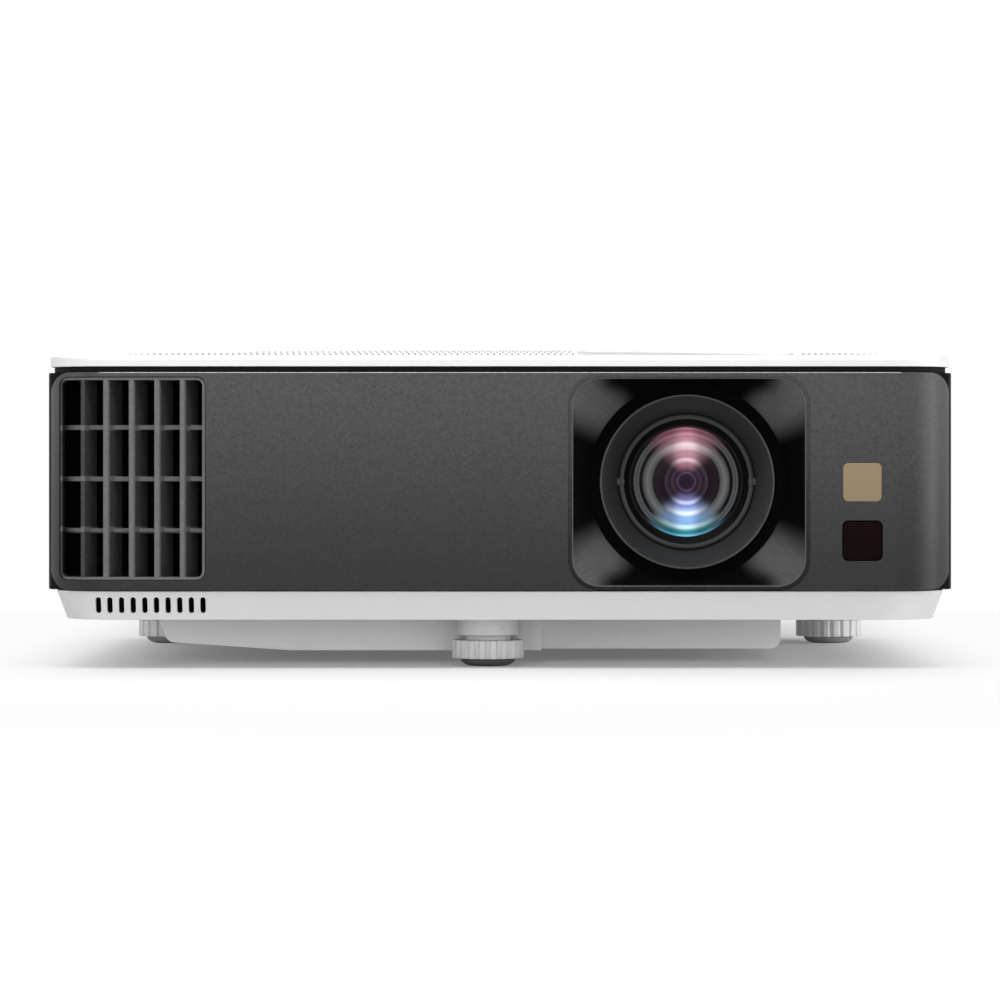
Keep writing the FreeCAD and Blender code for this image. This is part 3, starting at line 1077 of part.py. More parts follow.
def fan_rotor(name):
    """A hub and slanted blades about the z axis, over the stator."""
    body = doc.addObject("PartDesign::Body", name + "_blades")
    low, high = "fan_stator + fan_end_gap", "fan_depth - fan_end_gap"
    round_drawing = new_sketch(body, name + "_round", "z", low)
    draw_circle(round_drawing, ("0", "0"), "fan_hub_radius")
    hub = body.newObject("PartDesign::Pad", name + "_hub")
    hub.Profile = round_drawing
    bind(hub, Length=f"({high}) - ({low})")
    drawing = new_sketch(body, name + "_blade_outline", "y", "fan_rotor_radius")
    lean = "blade_lean / 2"
    draw_outline(drawing, [(f"-({lean})", low), (f"-({lean}) + blade_thickness", low),
                           (f"{lean} + blade_thickness", high), (lean, high)])
    blade = body.newObject("PartDesign::Pad", name + "_blade")
    blade.Profile = drawing
    bind(blade, Length="fan_rotor_radius - fan_hub_radius + fan_strut")
    repeat_round(body, name, blade, round_drawing, "blade_count")
    bore = cylinder(name + "_bore", "z", ("0", "0", "0"), "fan_pin_radius + running_gap", "fan_depth")
    return cut(name, body, bore)


def make_fans():
    for which, axis, size, spot in (
            ("exhaust", "y", "fan_size", ("fan_x", "fan_front", "fan_z")),
            ("intake", "x", "intake_fan_size", ("intake_fan_left", "intake_fan_y", "intake_fan_z"))):
        keep(f"{which}_fan_frame", place(fan_frame(f"{which}_fan_frame", size), axis, *spot))
        keep(f"{which}_fan_rotor", place(fan_rotor(f"{which}_fan_rotor"), axis, *spot))


# Boards, the sockets along the back, and the keypad's board with its switches.
def make_boards():
    board = box("main_board_plate", ("main_left", "main_right"), ("main_front", "main_back"),
                ("board_z", "board_top"))
    chips = [box(f"main_chip_{i}", (x, f"{x} + main_chip"),
                 ("main_front + main_chip / 2", "main_front + main_chip * 3 / 2"),
                 ("board_top", "board_top + chip_height"))
             for i, x in enumerate(("main_left + main_chip", "lens_x"))]
    keep("main_board", fuse("main_board", board, *chips))
    plate = box("power_plate", ("power_left", "power_right"), ("power_front", "power_back"),
                ("power_z", "power_z + board_thickness"))
    above = "power_z + board_thickness"
    coil = box("transformer", ("power_right - coil_size * 3 / 2", "power_right - coil_size / 2"),
               ("power_front + leg_radius", "power_front + leg_radius + coil_size"),
               (above, f"{above} + coil_size"))
    cans = [cylinder(f"capacitor_{i}", "z", (f"power_left + can_radius + leg_radius + {i} * can_pitch",
                                             "power_front + can_pitch", above),
                     "can_radius", "can_height") for i in (0, 1)]
    keep("power_board", fuse("power_board", plate, coil, *cans))
    top, low = "key_board_top", "key_board_top - board_thickness"
    pad = top_block("key_plate", "keypad_x", "keypad_y", "key_board_half_width", "key_board_half_depth",
                    low, top)
    switches = [top_block(key + "_switch", f"keypad_x + ({across})", f"keypad_y + ({deep})",
                          "switch_size / 2", "switch_size / 2", top, f"{top} + switch_height")
                for key, (across, deep, _) in KEYS.items()]
    keep("keypad_board", fuse("keypad_board", pad, *switches))
    pipes = [cylinder(f"light_pipe_{i}", "z", (x, "light_pipe_y", top), "light_pipe_radius",
                      f"{crown_at(x)} - ({top})") for i, x in enumerate(LIGHT_PIPES)]
    keep("light_pipes", group("light_pipes", *pipes))
    window = common("top_ir_glass", top_block("top_ir_block", "top_ir_x", "top_ir_y", "top_ir_width / 2",
                                              "top_ir_depth / 2", "crest_height - 2 * cover_wall",
                                              "crest_height + overrun", "tile_corner"), whole_top)
    keep("top_ir_window", window)


PORTS = {
    "video_left": ("video_x", "video_width", "video_height", "video_depth"),
    "video_right": ("video_x + video_pitch", "video_width", "video_height", "video_depth"),
    "data": ("data_x", "data_width", "data_height", "data_depth"),
    "serial": ("serial_x", "serial_width", "serial_height", "serial_depth"),
}
JACKS = ["jack_x", "jack_x + jack_pitch"]


def port_block(name, port, grow, low, high):
    x, width, height, _ = PORTS[port]
    return front_block(name, (f"{x} - ({width}) / 2 - ({grow})", f"{x} + ({width}) / 2 + ({grow})"),
                       (f"board_top - ({grow})", f"board_top + {height} + ({grow})"), low, high)


def make_sockets():
    made = {}
    for port, (x, width, height, depth) in PORTS.items():
        inner_end = f"plate_face + socket_proud - {depth}"
        shell = port_block(f"{port}_shell", port, "0", inner_end, "plate_face + socket_proud")
        room = port_block(f"{port}_room", port, "-socket_wall", f"{inner_end} + socket_back",
                          "back + overrun")
        tongue = front_block(f"{port}_tongue", (f"{x} - {width} / 3", f"{x} + {width} / 3"),
                             (f"board_top + {height} / 2 - socket_wall", f"board_top + {height} / 2"),
                             inner_end, "plate_face - socket_back")
        made[port] = fuse(f"{port}_socket", cut(f"{port}_hollow", shell, room), tongue)
    keep("digital_sockets", group("digital_sockets", made["video_left"], made["video_right"], made["data"]))
    keep("serial_socket", made["serial"])
    jack_front = "plate_face + socket_proud - jack_depth"
    jacks = []
    for i, x in enumerate(JACKS):
        barrel = cylinder(f"jack_barrel_{i}", "y", (x, jack_front, "jack_z"), "jack_radius", "jack_depth")
        hole = cylinder(f"jack_hole_{i}", "y", (x, f"{jack_front} + socket_back", "jack_z"),
                        "jack_bore", "jack_depth")
        jacks.append(cut(f"jack_{i}", barrel, hole))
    keep("audio_jacks", group("audio_jacks", *jacks))
    plate = front_block("plate_blank", ("port_left - port_margin", "port_right + port_margin"),
                        ("port_low - port_margin", "port_high + port_margin"), "plate_back", "plate_face")
    holes = [port_block(f"{port}_opening", port, "socket_gap", "plate_back - overrun", "back + overrun")
             for port in PORTS]
    jack_holes = [cylinder(f"jack_opening_{i}", "y", (x, "plate_back - overrun", "jack_z"),
                           "jack_radius + socket_gap", "port_wall + 2 * overrun")
                  for i, x in enumerate(JACKS)]
    keep("rear_plate", cut("rear_plate", plate, *holes, *jack_holes))
    make_inlet()


def make_inlet():
    """The mains inlet: a flanged shell with three flat pins in a deep mouth."""
    shell = inlet_block("inlet_shell", "0", "back - inlet_depth", "back")
    flange = inlet_block("inlet_collar", "inlet_flange", "back - shell_wall - inlet_rim",
                         "back - shell_wall")
    mouth = front_block("inlet_mouth",
                        ("inlet_x - inlet_mouth_width / 2", "inlet_x + inlet_mouth_width / 2"),
                        ("inlet_z - inlet_mouth_height / 2", "inlet_z + inlet_mouth_height / 2"),
                        "back - inlet_mouth_depth", "back + overrun")
    deep = "back - inlet_mouth_depth - overrun"
    pins = [front_block(f"pin_{i}", (f"inlet_x + {i} * pin_spacing - pin_thickness / 2",
                                     f"inlet_x + {i} * pin_spacing + pin_thickness / 2"),
                        (f"inlet_z - pin_width / 2 {shift}", f"inlet_z + pin_width / 2 {shift}"),
                        deep, "back - inlet_mouth_depth + pin_length")
            for i, shift in ((-1, ""), (0, "+ pin_width"), (1, ""))]
    cup = cut("inlet_cup", fuse("inlet_solid", shell, flange), mouth)
    keep("power_inlet", fuse("power_inlet", cup, *pins))


def make_speaker():
    """A round driver on a plate that stands on the tub's floor behind the right grille."""
    face = "(half_width - speaker_setback)"
    back = f"{face} - speaker_plate"
    plate = box("speaker_mount", (back, face), ("speaker_y - speaker_radius - speaker_edge",
                                                "speaker_y + speaker_radius + speaker_edge"),
                ("tub_floor", "speaker_z + speaker_radius + speaker_edge"))
    mouth = cylinder("speaker_mouth", "x", (f"{back} - overrun", "speaker_y", "speaker_z"),
                     "speaker_radius - speaker_edge", "speaker_plate + 2 * overrun")
    basket = cone("speaker_basket", "x", (f"{back} - speaker_depth", "speaker_y", "speaker_z"),
                  "speaker_magnet_radius", "speaker_radius", "speaker_depth")
    magnet = cylinder("speaker_magnet", "x", (f"{back} - speaker_depth", "speaker_y", "speaker_z"),
                      "speaker_magnet_radius + speaker_edge", "speaker_depth / 2")
    keep("speaker", fuse("speaker", cut("speaker_frame", plate, mouth), basket, magnet))


def make_everything():
    make_top_cover()
    make_lamp_cover()
    for key in KEYS:
        make_key(key)
    make_middle_case()
    make_front_panel()
    make_exhaust_grille()
    make_side_grille()
    make_intake_grille()
    make_lens_bezel()
    make_bottom_case()
    make_feet()
    make_lens()
    make_engine()
    make_lamp()
    make_fans()
    make_boards()
    make_sockets()
    make_speaker()


make_everything()
doc.recompute()

# Nothing is written until every object and every sub-part is sound.
for thing in doc.Objects:
    if "Invalid" in thing.State or "Error" in thing.State:
        raise SystemExit(f"{thing.Name} failed: {thing.State}")
for thing in kept:
    if thing.Shape.isNull() or not thing.Shape.isValid() or not thing.Shape.Solids:
        raise SystemExit(f"{thing.Label} has no sound solid")

os.makedirs("parts", exist_ok=True)
for thing in kept:
    thing.Shape.exportStep(f"parts/{thing.Label}.step")
    print(thing.Label, len(thing.Shape.Solids), round(thing.Shape.Volume))
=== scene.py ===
import json
import math
import bpy
import bmesh
from mathutils import Matrix, Vector
from mathutils.geometry import delaunay_2d_cdt


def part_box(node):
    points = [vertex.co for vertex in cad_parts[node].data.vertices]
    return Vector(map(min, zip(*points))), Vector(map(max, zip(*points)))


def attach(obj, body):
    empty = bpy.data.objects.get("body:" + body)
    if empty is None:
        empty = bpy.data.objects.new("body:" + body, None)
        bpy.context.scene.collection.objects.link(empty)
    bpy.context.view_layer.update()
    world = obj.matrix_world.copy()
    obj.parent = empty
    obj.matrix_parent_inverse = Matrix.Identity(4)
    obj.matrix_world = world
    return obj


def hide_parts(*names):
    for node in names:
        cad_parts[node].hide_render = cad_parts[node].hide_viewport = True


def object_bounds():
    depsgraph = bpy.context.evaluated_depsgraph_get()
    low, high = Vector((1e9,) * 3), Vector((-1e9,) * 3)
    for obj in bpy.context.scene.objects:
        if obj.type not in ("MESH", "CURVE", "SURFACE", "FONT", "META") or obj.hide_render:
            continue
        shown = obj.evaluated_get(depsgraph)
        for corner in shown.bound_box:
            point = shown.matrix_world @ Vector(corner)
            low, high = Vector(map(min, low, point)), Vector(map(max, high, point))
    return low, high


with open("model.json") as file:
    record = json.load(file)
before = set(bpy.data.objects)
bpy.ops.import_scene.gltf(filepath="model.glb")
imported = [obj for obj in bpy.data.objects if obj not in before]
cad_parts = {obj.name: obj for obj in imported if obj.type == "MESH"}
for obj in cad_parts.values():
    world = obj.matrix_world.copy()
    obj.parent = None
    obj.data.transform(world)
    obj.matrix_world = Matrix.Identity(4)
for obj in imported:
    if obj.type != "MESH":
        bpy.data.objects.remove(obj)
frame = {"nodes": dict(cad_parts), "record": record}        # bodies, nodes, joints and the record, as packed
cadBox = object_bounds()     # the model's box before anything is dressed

mm = 0.001
lowest = cadBox[0]
record = frame["record"]
bodyOf = {node: body for body, nodes in record["behaviour"]["bodies"].items() for node in nodes}
slotOf = {part["node"]: part["material_slot"] for part in record["subparts"]}


def sums(operation, reflected=False):
    # an operator that adds a Math node; the reflected form has the wire on the right
    def work(self, other=0.0):
        first, second = (other, self) if reflected else (self, other)
        return self.shading.maths(operation, first, second)
    return work


# A wire is one output of a node. Sums on wires add Math nodes.
class Wire:
    def __init__(self, shading, socket):
        self.shading = shading
        self.socket = socket

    __add__, __radd__ = sums("ADD"), sums("ADD", True)
    __sub__, __rsub__ = sums("SUBTRACT"), sums("SUBTRACT", True)
    __mul__, __rmul__ = sums("MULTIPLY"), sums("MULTIPLY", True)
    __truediv__ = sums("DIVIDE")
    __abs__ = sums("ABSOLUTE")
    largest = sums("MAXIMUM")

    def within(self, low, high):
        # 0 below low, 1 above high, smooth between
        return self.shading.node("ShaderNodeMapRange", {"interpolation_type": "SMOOTHSTEP"},
                                 {"Value": self, "From Min": low, "From Max": high})


# A node tree that is written as expressions, for a material or the world.
class Shading:
    def __init__(self, tree):
        self.tree = tree
        tree.nodes.clear()

    def node(self, kind, settings=None, sockets=None, output=0):
        made = self.tree.nodes.new(kind)
        for key, value in (settings or {}).items():
            if key == "stops":
                self.fillRamp(made.color_ramp, value)
            else:
                setattr(made, key, value)
        for key, value in (sockets or {}).items():
            if isinstance(value, Wire):
                self.tree.links.new(value.socket, made.inputs[key])
            else:
                made.inputs[key].default_value = value
        return Wire(self, made.outputs[output]) if made.outputs else None

    def fillRamp(self, ramp, stops):
        while len(ramp.elements) < len(stops):
            ramp.elements.new(0.5)
        for element, (place, colour) in zip(ramp.elements, stops):
            element.position = place
            element.color = (*colour, 1)

    def maths(self, operation, first, second=0.0):
        return self.node("ShaderNodeMath", {"operation": operation}, {0: first, 1: second})

    def radius(self, first, second):
        # how far off an axis, from the two distances across it
        return self.maths("SQRT", first * first + second * second)

    def place(self):
        return self.node("ShaderNodeTexCoord", output="Object")

    def axes(self, centre=(0, 0, 0)):
        # the three coordinates about a centre
        moved = self.node("ShaderNodeVectorMath", {"operation": "SUBTRACT"}, {0: self.place(), 1: centre})
        return [self.node("ShaderNodeSeparateXYZ", None, {0: moved}, output) for output in range(3)]

    def noise(self, size, detail=2.0, stretch=(1, 1, 1)):
        # cloudy noise whose patches are about size metres across
        where = self.node("ShaderNodeVectorMath", {"operation": "MULTIPLY"}, {0: self.place(), 1: stretch})
        return self.node("ShaderNodeTexNoise", None, {"Vector": where, "Scale": 1 / size, "Detail": detail})

    def ramp(self, factor, stops):
        return self.node("ShaderNodeValToRGB", {"stops": stops}, {0: factor})

    def tint(self, colour, amount):
        # a colour made lighter or darker by a wire
        return self.node("ShaderNodeVectorMath", {"operation": "SCALE"}, {0: colour, "Scale": amount})

    def blend(self, factor, first, second):
        first, second = ((*c, 1) if isinstance(c, tuple) else c for c in (first, second))
        return self.node("ShaderNodeMix", {"data_type": "RGBA"}, {0: factor, 6: first, 7: second}, 2)

    def bump(self, height, distance):
        return self.node("ShaderNodeBump", None, {"Height": height, "Distance": distance, "Strength": 1.0})

    def glossy(self, sockets):
        return self.node("ShaderNodeBsdfPrincipled", None, sockets)

    def finish(self, surface):
        self.node("ShaderNodeOutputMaterial", None, {"Surface": surface})


def newFinish(name):
    material = bpy.data.materials.new(name)
    material.use_nodes = True
    return material, Shading(material.node_tree)


def placed(name, data):
    # a new object in the scene
    made = bpy.data.objects.new(name, data)
    bpy.context.scene.collection.objects.link(made)
    return made


def asMesh(name, shape):
    # a mesh from a finished bmesh
    mesh = bpy.data.meshes.new(name)
    shape.to_mesh(mesh)
    shape.free()
    return mesh


def middleOf(box):
    return (box[0] + box[1]) / 2


def centreOf(node):
    return middleOf(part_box(node))


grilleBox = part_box("exhaust_grille")
grilleFront = grilleBox[0][1]
grilleRows = (grilleBox[1][2] - grilleBox[0][2]) / 4
panelFront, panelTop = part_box("front_panel")[0][1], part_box("front_panel")[1][2]

# Moulded plastics: a colour with broad patches of tone, fine grain in colour and height, and a sheen.
# A plastic names only what differs from the usual one. A fade goes along an axis from one (place, tone) to another,
# and some places of one piece are lighter or darker: in a recess, round the front foot, towards the ends, along an
# edge, on the grille's rows. The fades and these places are painted light and painted shade.
usual = {"cloud": 0.1, "speckle": 0.4, "grain": 0.4 * mm, "relief": 0.02 * mm, "roughness": 0.5, "sheen": 0.4}
plastics = {
    "coverWhite": {"colour": (0.71, 0.71, 0.707), "cloud": 0.02, "speckle": 0.02, "grain": 0.5 * mm,
                   "relief": 0.012 * mm, "roughness": 0.48,
                   # painted shade: the cover is darker inside its ring recess
                   "hollow": {"at": (64.5 * mm, -82.5 * mm, 107.4 * mm), "half": (37.6 * mm, 22.9 * mm),
                              "darker": 0.42}},
    "tubWhite": {"colour": (0.70, 0.70, 0.70), "cloud": 0.03, "speckle": 0.04, "grain": 0.55 * mm,
                 # painted light: the tub's bulge below 15.5 mm is lighter, for light reaching under it
                 "fade": (2, (15.5 * mm, 1.38), (17 * mm, 1)),
                 # painted shade: darker round the front foot, taking back the bulge's painted light there
                 "boss": {"tone": 0.62, "around": (17 * mm, 19 * mm), "below": (15.5 * mm, 17 * mm)},
                 # painted shade: darker towards the tub's rounded ends
                 "ends": {"darker": 0.15, "from": (134 * mm, 150 * mm)}},
    "panelGrey": {"colour": (0.045, 0.045, 0.0455), "cloud": 0.14, "speckle": 0.75, "grain": 0.42 * mm,
                  "relief": 0.025 * mm, "roughness": 0.46, "sheen": 0.26,
                  # painted light and shade: the panel is lighter towards its top and darker towards its bottom
                  "fade": (2, (20 * mm, 0.24), (110 * mm, 1.16)),
                  # painted highlight: a thin lighter line along the panel's top front edge
                  "edge": {"lighter": 8, "above": (-0.32 * mm, -0.12 * mm), "behind": (0.18 * mm, 0.3 * mm)}},
    "caseDark": {"colour": (0.010, 0.010, 0.0105), "speckle": 0.45, "grain": 0.45 * mm,
                 "relief": 0.03 * mm, "roughness": 0.78, "sheen": 0.1},
    "grilleDark": {"colour": (0.125, 0.125, 0.126), "speckle": 0.5, "roughness": 0.55, "sheen": 0.15,
                   # painted shade and light: the grille darker going back from its front faces, its rows kept at full
                   # tone
                   "fade": (1, (grilleFront + 0.9 * mm, 1), (grilleFront + 1.7 * mm, 0.36)),
                   "bars": (0.8 * mm, 1.0 * mm)},
    # deepBlack: the black of the lens parts and the fan, and also of the painted-shade pieces behind the openings
    "deepBlack": {"colour": (0.002, 0.002, 0.002), "cloud": 0.2, "speckle": 0.5, "grain": 0.6 * mm,
                  "roughness": 0.8, "sheen": 0.03},
    # painted shade: the cover's ridges are its own white plastic, painted greyer so they stand out
    "dashWhite": {"colour": (0.50, 0.50, 0.50), "cloud": 0.02, "speckle": 0.02, "grain": 0.5 * mm,
                  "relief": 0.01 * mm, "sheen": 0.3},
    "rearDark": {"colour": (0.038, 0.038, 0.040), "grain": 0.45 * mm, "sheen": 0.35},
    "ringBlack": {"colour": (0.022, 0.022, 0.023), "roughness": 0.42},
    "jackBlack": {"colour": (0.016, 0.016, 0.017), "grain": 0.5 * mm, "relief": 0.015 * mm, "roughness": 0.4},
    "keyGrey": {"colour": (0.40, 0.40, 0.41), "cloud": 0.04, "speckle": 0.1, "relief": 0.01 * mm,
                "roughness": 0.42, "sheen": 0.45},
    "knobWhite": {"colour": (0.66, 0.66, 0.66), "cloud": 0.05, "speckle": 0.05, "grain": 0.5 * mm,
                  "relief": 0.015 * mm, "roughness": 0.42, "sheen": 0.45},
    # painted light and shade: the pads are one grey rubber; the front pad's copy is painted darker, the rear pads'
    # lighter
    "rubberDark": {"colour": (0.12, 0.12, 0.12), "speckle": 0.55, "grain": 0.5 * mm, "relief": 0.05 * mm,
                   "roughness": 0.8, "sheen": 0.2},
    "rubberPale": {"colour": (0.42, 0.42, 0.42), "speckle": 0.2, "grain": 0.5 * mm, "relief": 0.04 * mm,
                   "roughness": 0.75, "sheen": 0.2},
    "lampPlastic": {"colour": (0.11, 0.09, 0.08), "cloud": 0.15, "speckle": 0.3, "grain": 0.6 * mm,
                    "relief": 0.03 * mm, "roughness": 0.6, "sheen": 0.3},
}
# painted light: the rear feet's knobs are the front knob's plastic, painted paler
plastics["knobPale"] = {**plastics["knobWhite"], "colour": (0.92, 0.92, 0.92)}


def mouldedPlastic(name, look):
    material, shading = newFinish(name)
    cloud = shading.noise(40 * mm, 3)
    grain = shading.noise(look["grain"], 2)
    coarse = shading.noise(look["grain"] * 2.6, 1)
    speckle = (grain + coarse) * 0.5 - 0.5
    tone = (cloud - 0.5) * look["cloud"] + speckle * (2 * look["speckle"]) + 1
    # painted light and shade: a fade makes the colour lighter or darker along an axis
    if "fade" in look:
        axis, (lowAt, lowTone), (highAt, highTone) = look["fade"]
        tone = tone * (shading.axes()[axis].within(lowAt, highAt) * (highTone - lowTone) + lowTone)
    # painted light: the grille's rows keep at least the full tone
    if "bars" in look:
        aside = shading.maths("PINGPONG", shading.axes(middleOf(grilleBox))[2], grilleRows / 2)
        tone = tone.largest(1 - aside.within(*look["bars"]))
    # painted shade round the front foot
    if "boss" in look:
        boss = look["boss"]
        across, along, _ = shading.axes(centreOf("front_foot_knob"))
        away = shading.radius(across, along).within(*boss["around"])
        away = away.largest(shading.axes()[2].within(*boss["below"]))
        tone = tone * (away * (1 - boss["tone"]) + boss["tone"])
    # painted shade towards the ends, along the x axis
    if "ends" in look:
        tone = tone * (1 - abs(shading.axes()[0]).within(*look["ends"]["from"]) * look["ends"]["darker"])
    # painted highlight along the panel's top front edge
    if "edge" in look:
        edge = look["edge"]
        _, along, up = shading.axes((0, panelFront, panelTop))
        corner = up.within(*edge["above"]) * (1 - along.within(*edge["behind"]))
        tone = tone * (corner * edge["lighter"] + 1)
    # painted shade: darker inside the cover's ring recess, below its rim
    if "hollow" in look:
        hollow = look["hollow"]
        *sides, up = shading.axes(hollow["at"])
        within = [1 - abs(side).within(half, half + 0.2 * mm) for side, half in zip(sides, hollow["half"])]
        tone = tone * (1 - within[0] * within[1] * (1 - up.within(-0.5 * mm, 0)) * hollow["darker"])
    shading.finish(shading.glossy({
        "Base Color": shading.tint(look["colour"], tone),
        "Roughness": (cloud - 0.5) * 0.12 + look["roughness"],
        "Specular IOR Level": look["sheen"],
        "Normal": shading.bump(grain + coarse, look["relief"]),
    }))
    return material


finishes = {name: mouldedPlastic(name, {**usual, **look}) for name, look in plastics.items()}

# Metals: a tone with drawn lines along one axis and faint smudges.
metals = {
    "socketSteel": {"colour": (0.58, 0.58, 0.60), "roughness": 0.3, "stretch": (1, 0.05, 1)},
    "motorSteel": {"colour": (0.46, 0.46, 0.48), "roughness": 0.35, "stretch": (0.05, 1, 1)},
    "castAlloy": {"colour": (0.50, 0.50, 0.52), "roughness": 0.55, "stretch": (1, 1, 1)},
    "finAlloy": {"colour": (0.66, 0.66, 0.68), "roughness": 0.38, "stretch": (1, 1, 0.05)},
    "insertBrass": {"colour": (0.62, 0.46, 0.20), "roughness": 0.32, "stretch": (1, 1, 0.1)},
    "screwBlack": {"colour": (0.09, 0.09, 0.095), "roughness": 0.4, "stretch": (1, 1, 0.3)},
    "mirrorSilver": {"colour": (0.80, 0.80, 0.82), "roughness": 0.08, "stretch": (1, 1, 1)},
}


def drawnMetal(name, look):
    material, shading = newFinish(name)
    lines = shading.noise(0.35 * mm, 3, look["stretch"])
    smudge = shading.noise(14 * mm, 2)
    shading.finish(shading.glossy({
        "Base Color": shading.tint(look["colour"], 0.85 + lines * 0.2 + smudge * 0.1),
        "Roughness": look["roughness"] + (lines - 0.5) * 0.15 + (smudge - 0.5) * 0.1,
        "Metallic": 1.0,
        "Normal": shading.bump(lines, 0.01 * mm),
    }))
    return material


finishes.update({name: drawnMetal(name, look) for name, look in metals.items()})


def badgeFinish():
    # a tan satin plate with a fine cross grain, painted a shade lighter towards its top as painted light
    material, shading = newFinish("badgeTan")
    up = shading.axes(centreOf("badge_plate"))[2]
    lines = shading.noise(0.25 * mm, 3, (1, 1, 0.15))
    flecks = shading.noise(0.4 * mm, 1)
    # painted light: lighter towards the plate's top
    tone = 0.92 + lines * 0.1 + flecks * 0.08 + up * 6
    shading.finish(shading.glossy({
        "Base Color": shading.tint((0.205, 0.149, 0.081), tone),
        "Roughness": 0.38 + (lines - 0.5) * 0.2,
        "Metallic": 0.25,
        "Normal": shading.bump(lines + flecks, 0.012 * mm),
    }))
    return material


def windowFinish():
    # dark red-brown plastic that passes infrared, polished, with a faint ripple
    material, shading = newFinish("windowBrown")
    cloud = shading.noise(9 * mm, 2)
    ripple = shading.noise(3 * mm, 1)
    shading.finish(shading.glossy({
        "Base Color": shading.tint((0.005, 0.0012, 0.0012), 0.8 + cloud * 0.4),
        "Roughness": 0.16 + cloud * 0.06,
        "Specular IOR Level": 0.03,
        "Normal": shading.bump(ripple, 0.01 * mm),
    }))
    return material


def boardFinish():
    # green solder mask with copper tracks that show through it
    material, shading = newFinish("boardGreen")
    tracks = shading.node("ShaderNodeTexBrick", None, {
        "Vector": shading.place(), "Scale": 1 / (9 * mm), "Mortar Size": 0.03, "Brick Width": 0.9,
        "Color1": (0.012, 0.105, 0.045, 1), "Color2": (0.018, 0.13, 0.055, 1), "Mortar": (0.05, 0.24, 0.10, 1)})
    speck = shading.noise(0.7 * mm, 2)
    shading.finish(shading.glossy({
        "Base Color": shading.tint(tracks, 0.8 + speck * 0.4),
        "Roughness": 0.3 + speck * 0.2,
        "Normal": shading.bump(speck, 0.02 * mm),
    }))
    return material


def clearFinish(name, colour, roughness):
    # clear glass or plastic, seen as a thin tinted film that turns glossy at its edges
    material, shading = newFinish(name)
    streaks = shading.noise(12 * mm, 2)
    film = shading.glossy({"Base Color": shading.tint(colour, 0.9 + streaks * 0.2),
                           "Roughness": roughness + streaks * 0.02})
    clear = shading.node("ShaderNodeBsdfTransparent")
    edge = shading.node("ShaderNodeLayerWeight", None, {"Blend": 0.25}, "Fresnel")
    shading.finish(shading.node("ShaderNodeMixShader", None, {0: edge * 0.6 + 0.12, 1: clear, 2: film}))
    return material


finishes.update(badgeTan=badgeFinish(), windowBrown=windowFinish(), boardGreen=boardFinish(),
                pipeClear=clearFinish("pipeClear", (0.75, 0.8, 0.85), 0.15),
                quartzClear=clearFinish("quartzClear", (0.85, 0.88, 0.9), 0.05),
                lensClear=clearFinish("lensClear", (0.35, 0.38, 0.5), 0.03))

# The lens, from the frame: its axis, the round hole of its bezel and the glass that shows.
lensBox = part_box("lens_hood")
lensCentre = (middleOf(lensBox)[0], 0, middleOf(lensBox)[2])
hoodRadius = (lensBox[1][0] - lensBox[0][0]) / 2
hoodFront = lensBox[0][1]
holeRadius = hoodRadius + 4.1 * mm
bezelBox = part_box("lens_bezel")
bezel = {"wall": 1.2 * mm, "corner": 9.6 * mm, "depth": 10.5 * mm, "flare": 1.35, "rim": 0.3 * mm,
         "proud": 0.47 * mm, "spread": 0.11 * mm, "shoulder": (0.08, 0.8), "steps": 12, "around": 192,
         # black is painted shade on the mouth's straight sides, the colour after it painted sheen in its corners, lip
         # a painted highlight on its edge
         "black": (0.0008, 0.0008, 0.0008), "wedge": (0.105, 0.105, 0.106), "rimTone": (0.052, 0.052, 0.0525),
         "lip": (0.10, 0.10, 0.101), "wedgeFrom": (0.36, 0.66), "wedgeTo": (0.78, 1.04),
         "endUp": (7 * mm, 1 * mm), "endAcross": (24 * mm, 34 * mm)}
glassRadius = hoodRadius - 11.0 * mm
# painted light in the glass: the rings seen deep inside with their light and shade, then painted reflections of the
# lamps, pink in the upper half, blue in the lower
deepRings = [
    (0.0, (0.012, 0.006, 0.014)), (0.13, (0.016, 0.008, 0.018)), (0.165, (0.055, 0.035, 0.062)),
    (0.185, (0.014, 0.008, 0.013)), (0.27, (0.035, 0.020, 0.032)), (0.29, (0.010, 0.006, 0.010)),
    (0.385, (0.034, 0.024, 0.034)), (0.40, (0.007, 0.004, 0.007)), (0.56, (0.011, 0.007, 0.011)),
    (0.595, (0.006, 0.005, 0.006)), (0.625, (0.060, 0.060, 0.060)), (0.70, (0.11, 0.11, 0.11)),
    (0.775, (0.050, 0.050, 0.050)), (0.80, (0.003, 0.003, 0.003)), (0.84, (0.003, 0.003, 0.003)),
    (0.862, (0.075, 0.075, 0.078)), (0.90, (0.040, 0.040, 0.042)), (0.93, (0.085, 0.085, 0.088)),
    (0.95, (0.006, 0.006, 0.006)), (0.99, (0.003, 0.003, 0.003)),
]
pinkGlare = [
    (0.0, (0.05, 0.02, 0.05)), (0.13, (0.06, 0.025, 0.055)), (0.165, (0.15, 0.09, 0.14)),
    (0.19, (0.10, 0.04, 0.06)), (0.33, (0.32, 0.15, 0.20)), (0.40, (0.72, 0.50, 0.56)),
    (0.45, (0.42, 0.21, 0.26)), (0.55, (0.46, 0.25, 0.30)), (0.60, (0.70, 0.46, 0.52)),
    (0.68, (0.86, 0.70, 0.74)), (0.735, (0.52, 0.27, 0.33)), (0.82, (0.42, 0.19, 0.24)),
    (0.865, (0.52, 0.27, 0.33)), (0.92, (0.26, 0.08, 0.12)), (0.965, (0.40, 0.17, 0.22)),
    (0.985, (0.10, 0.03, 0.05)),
]
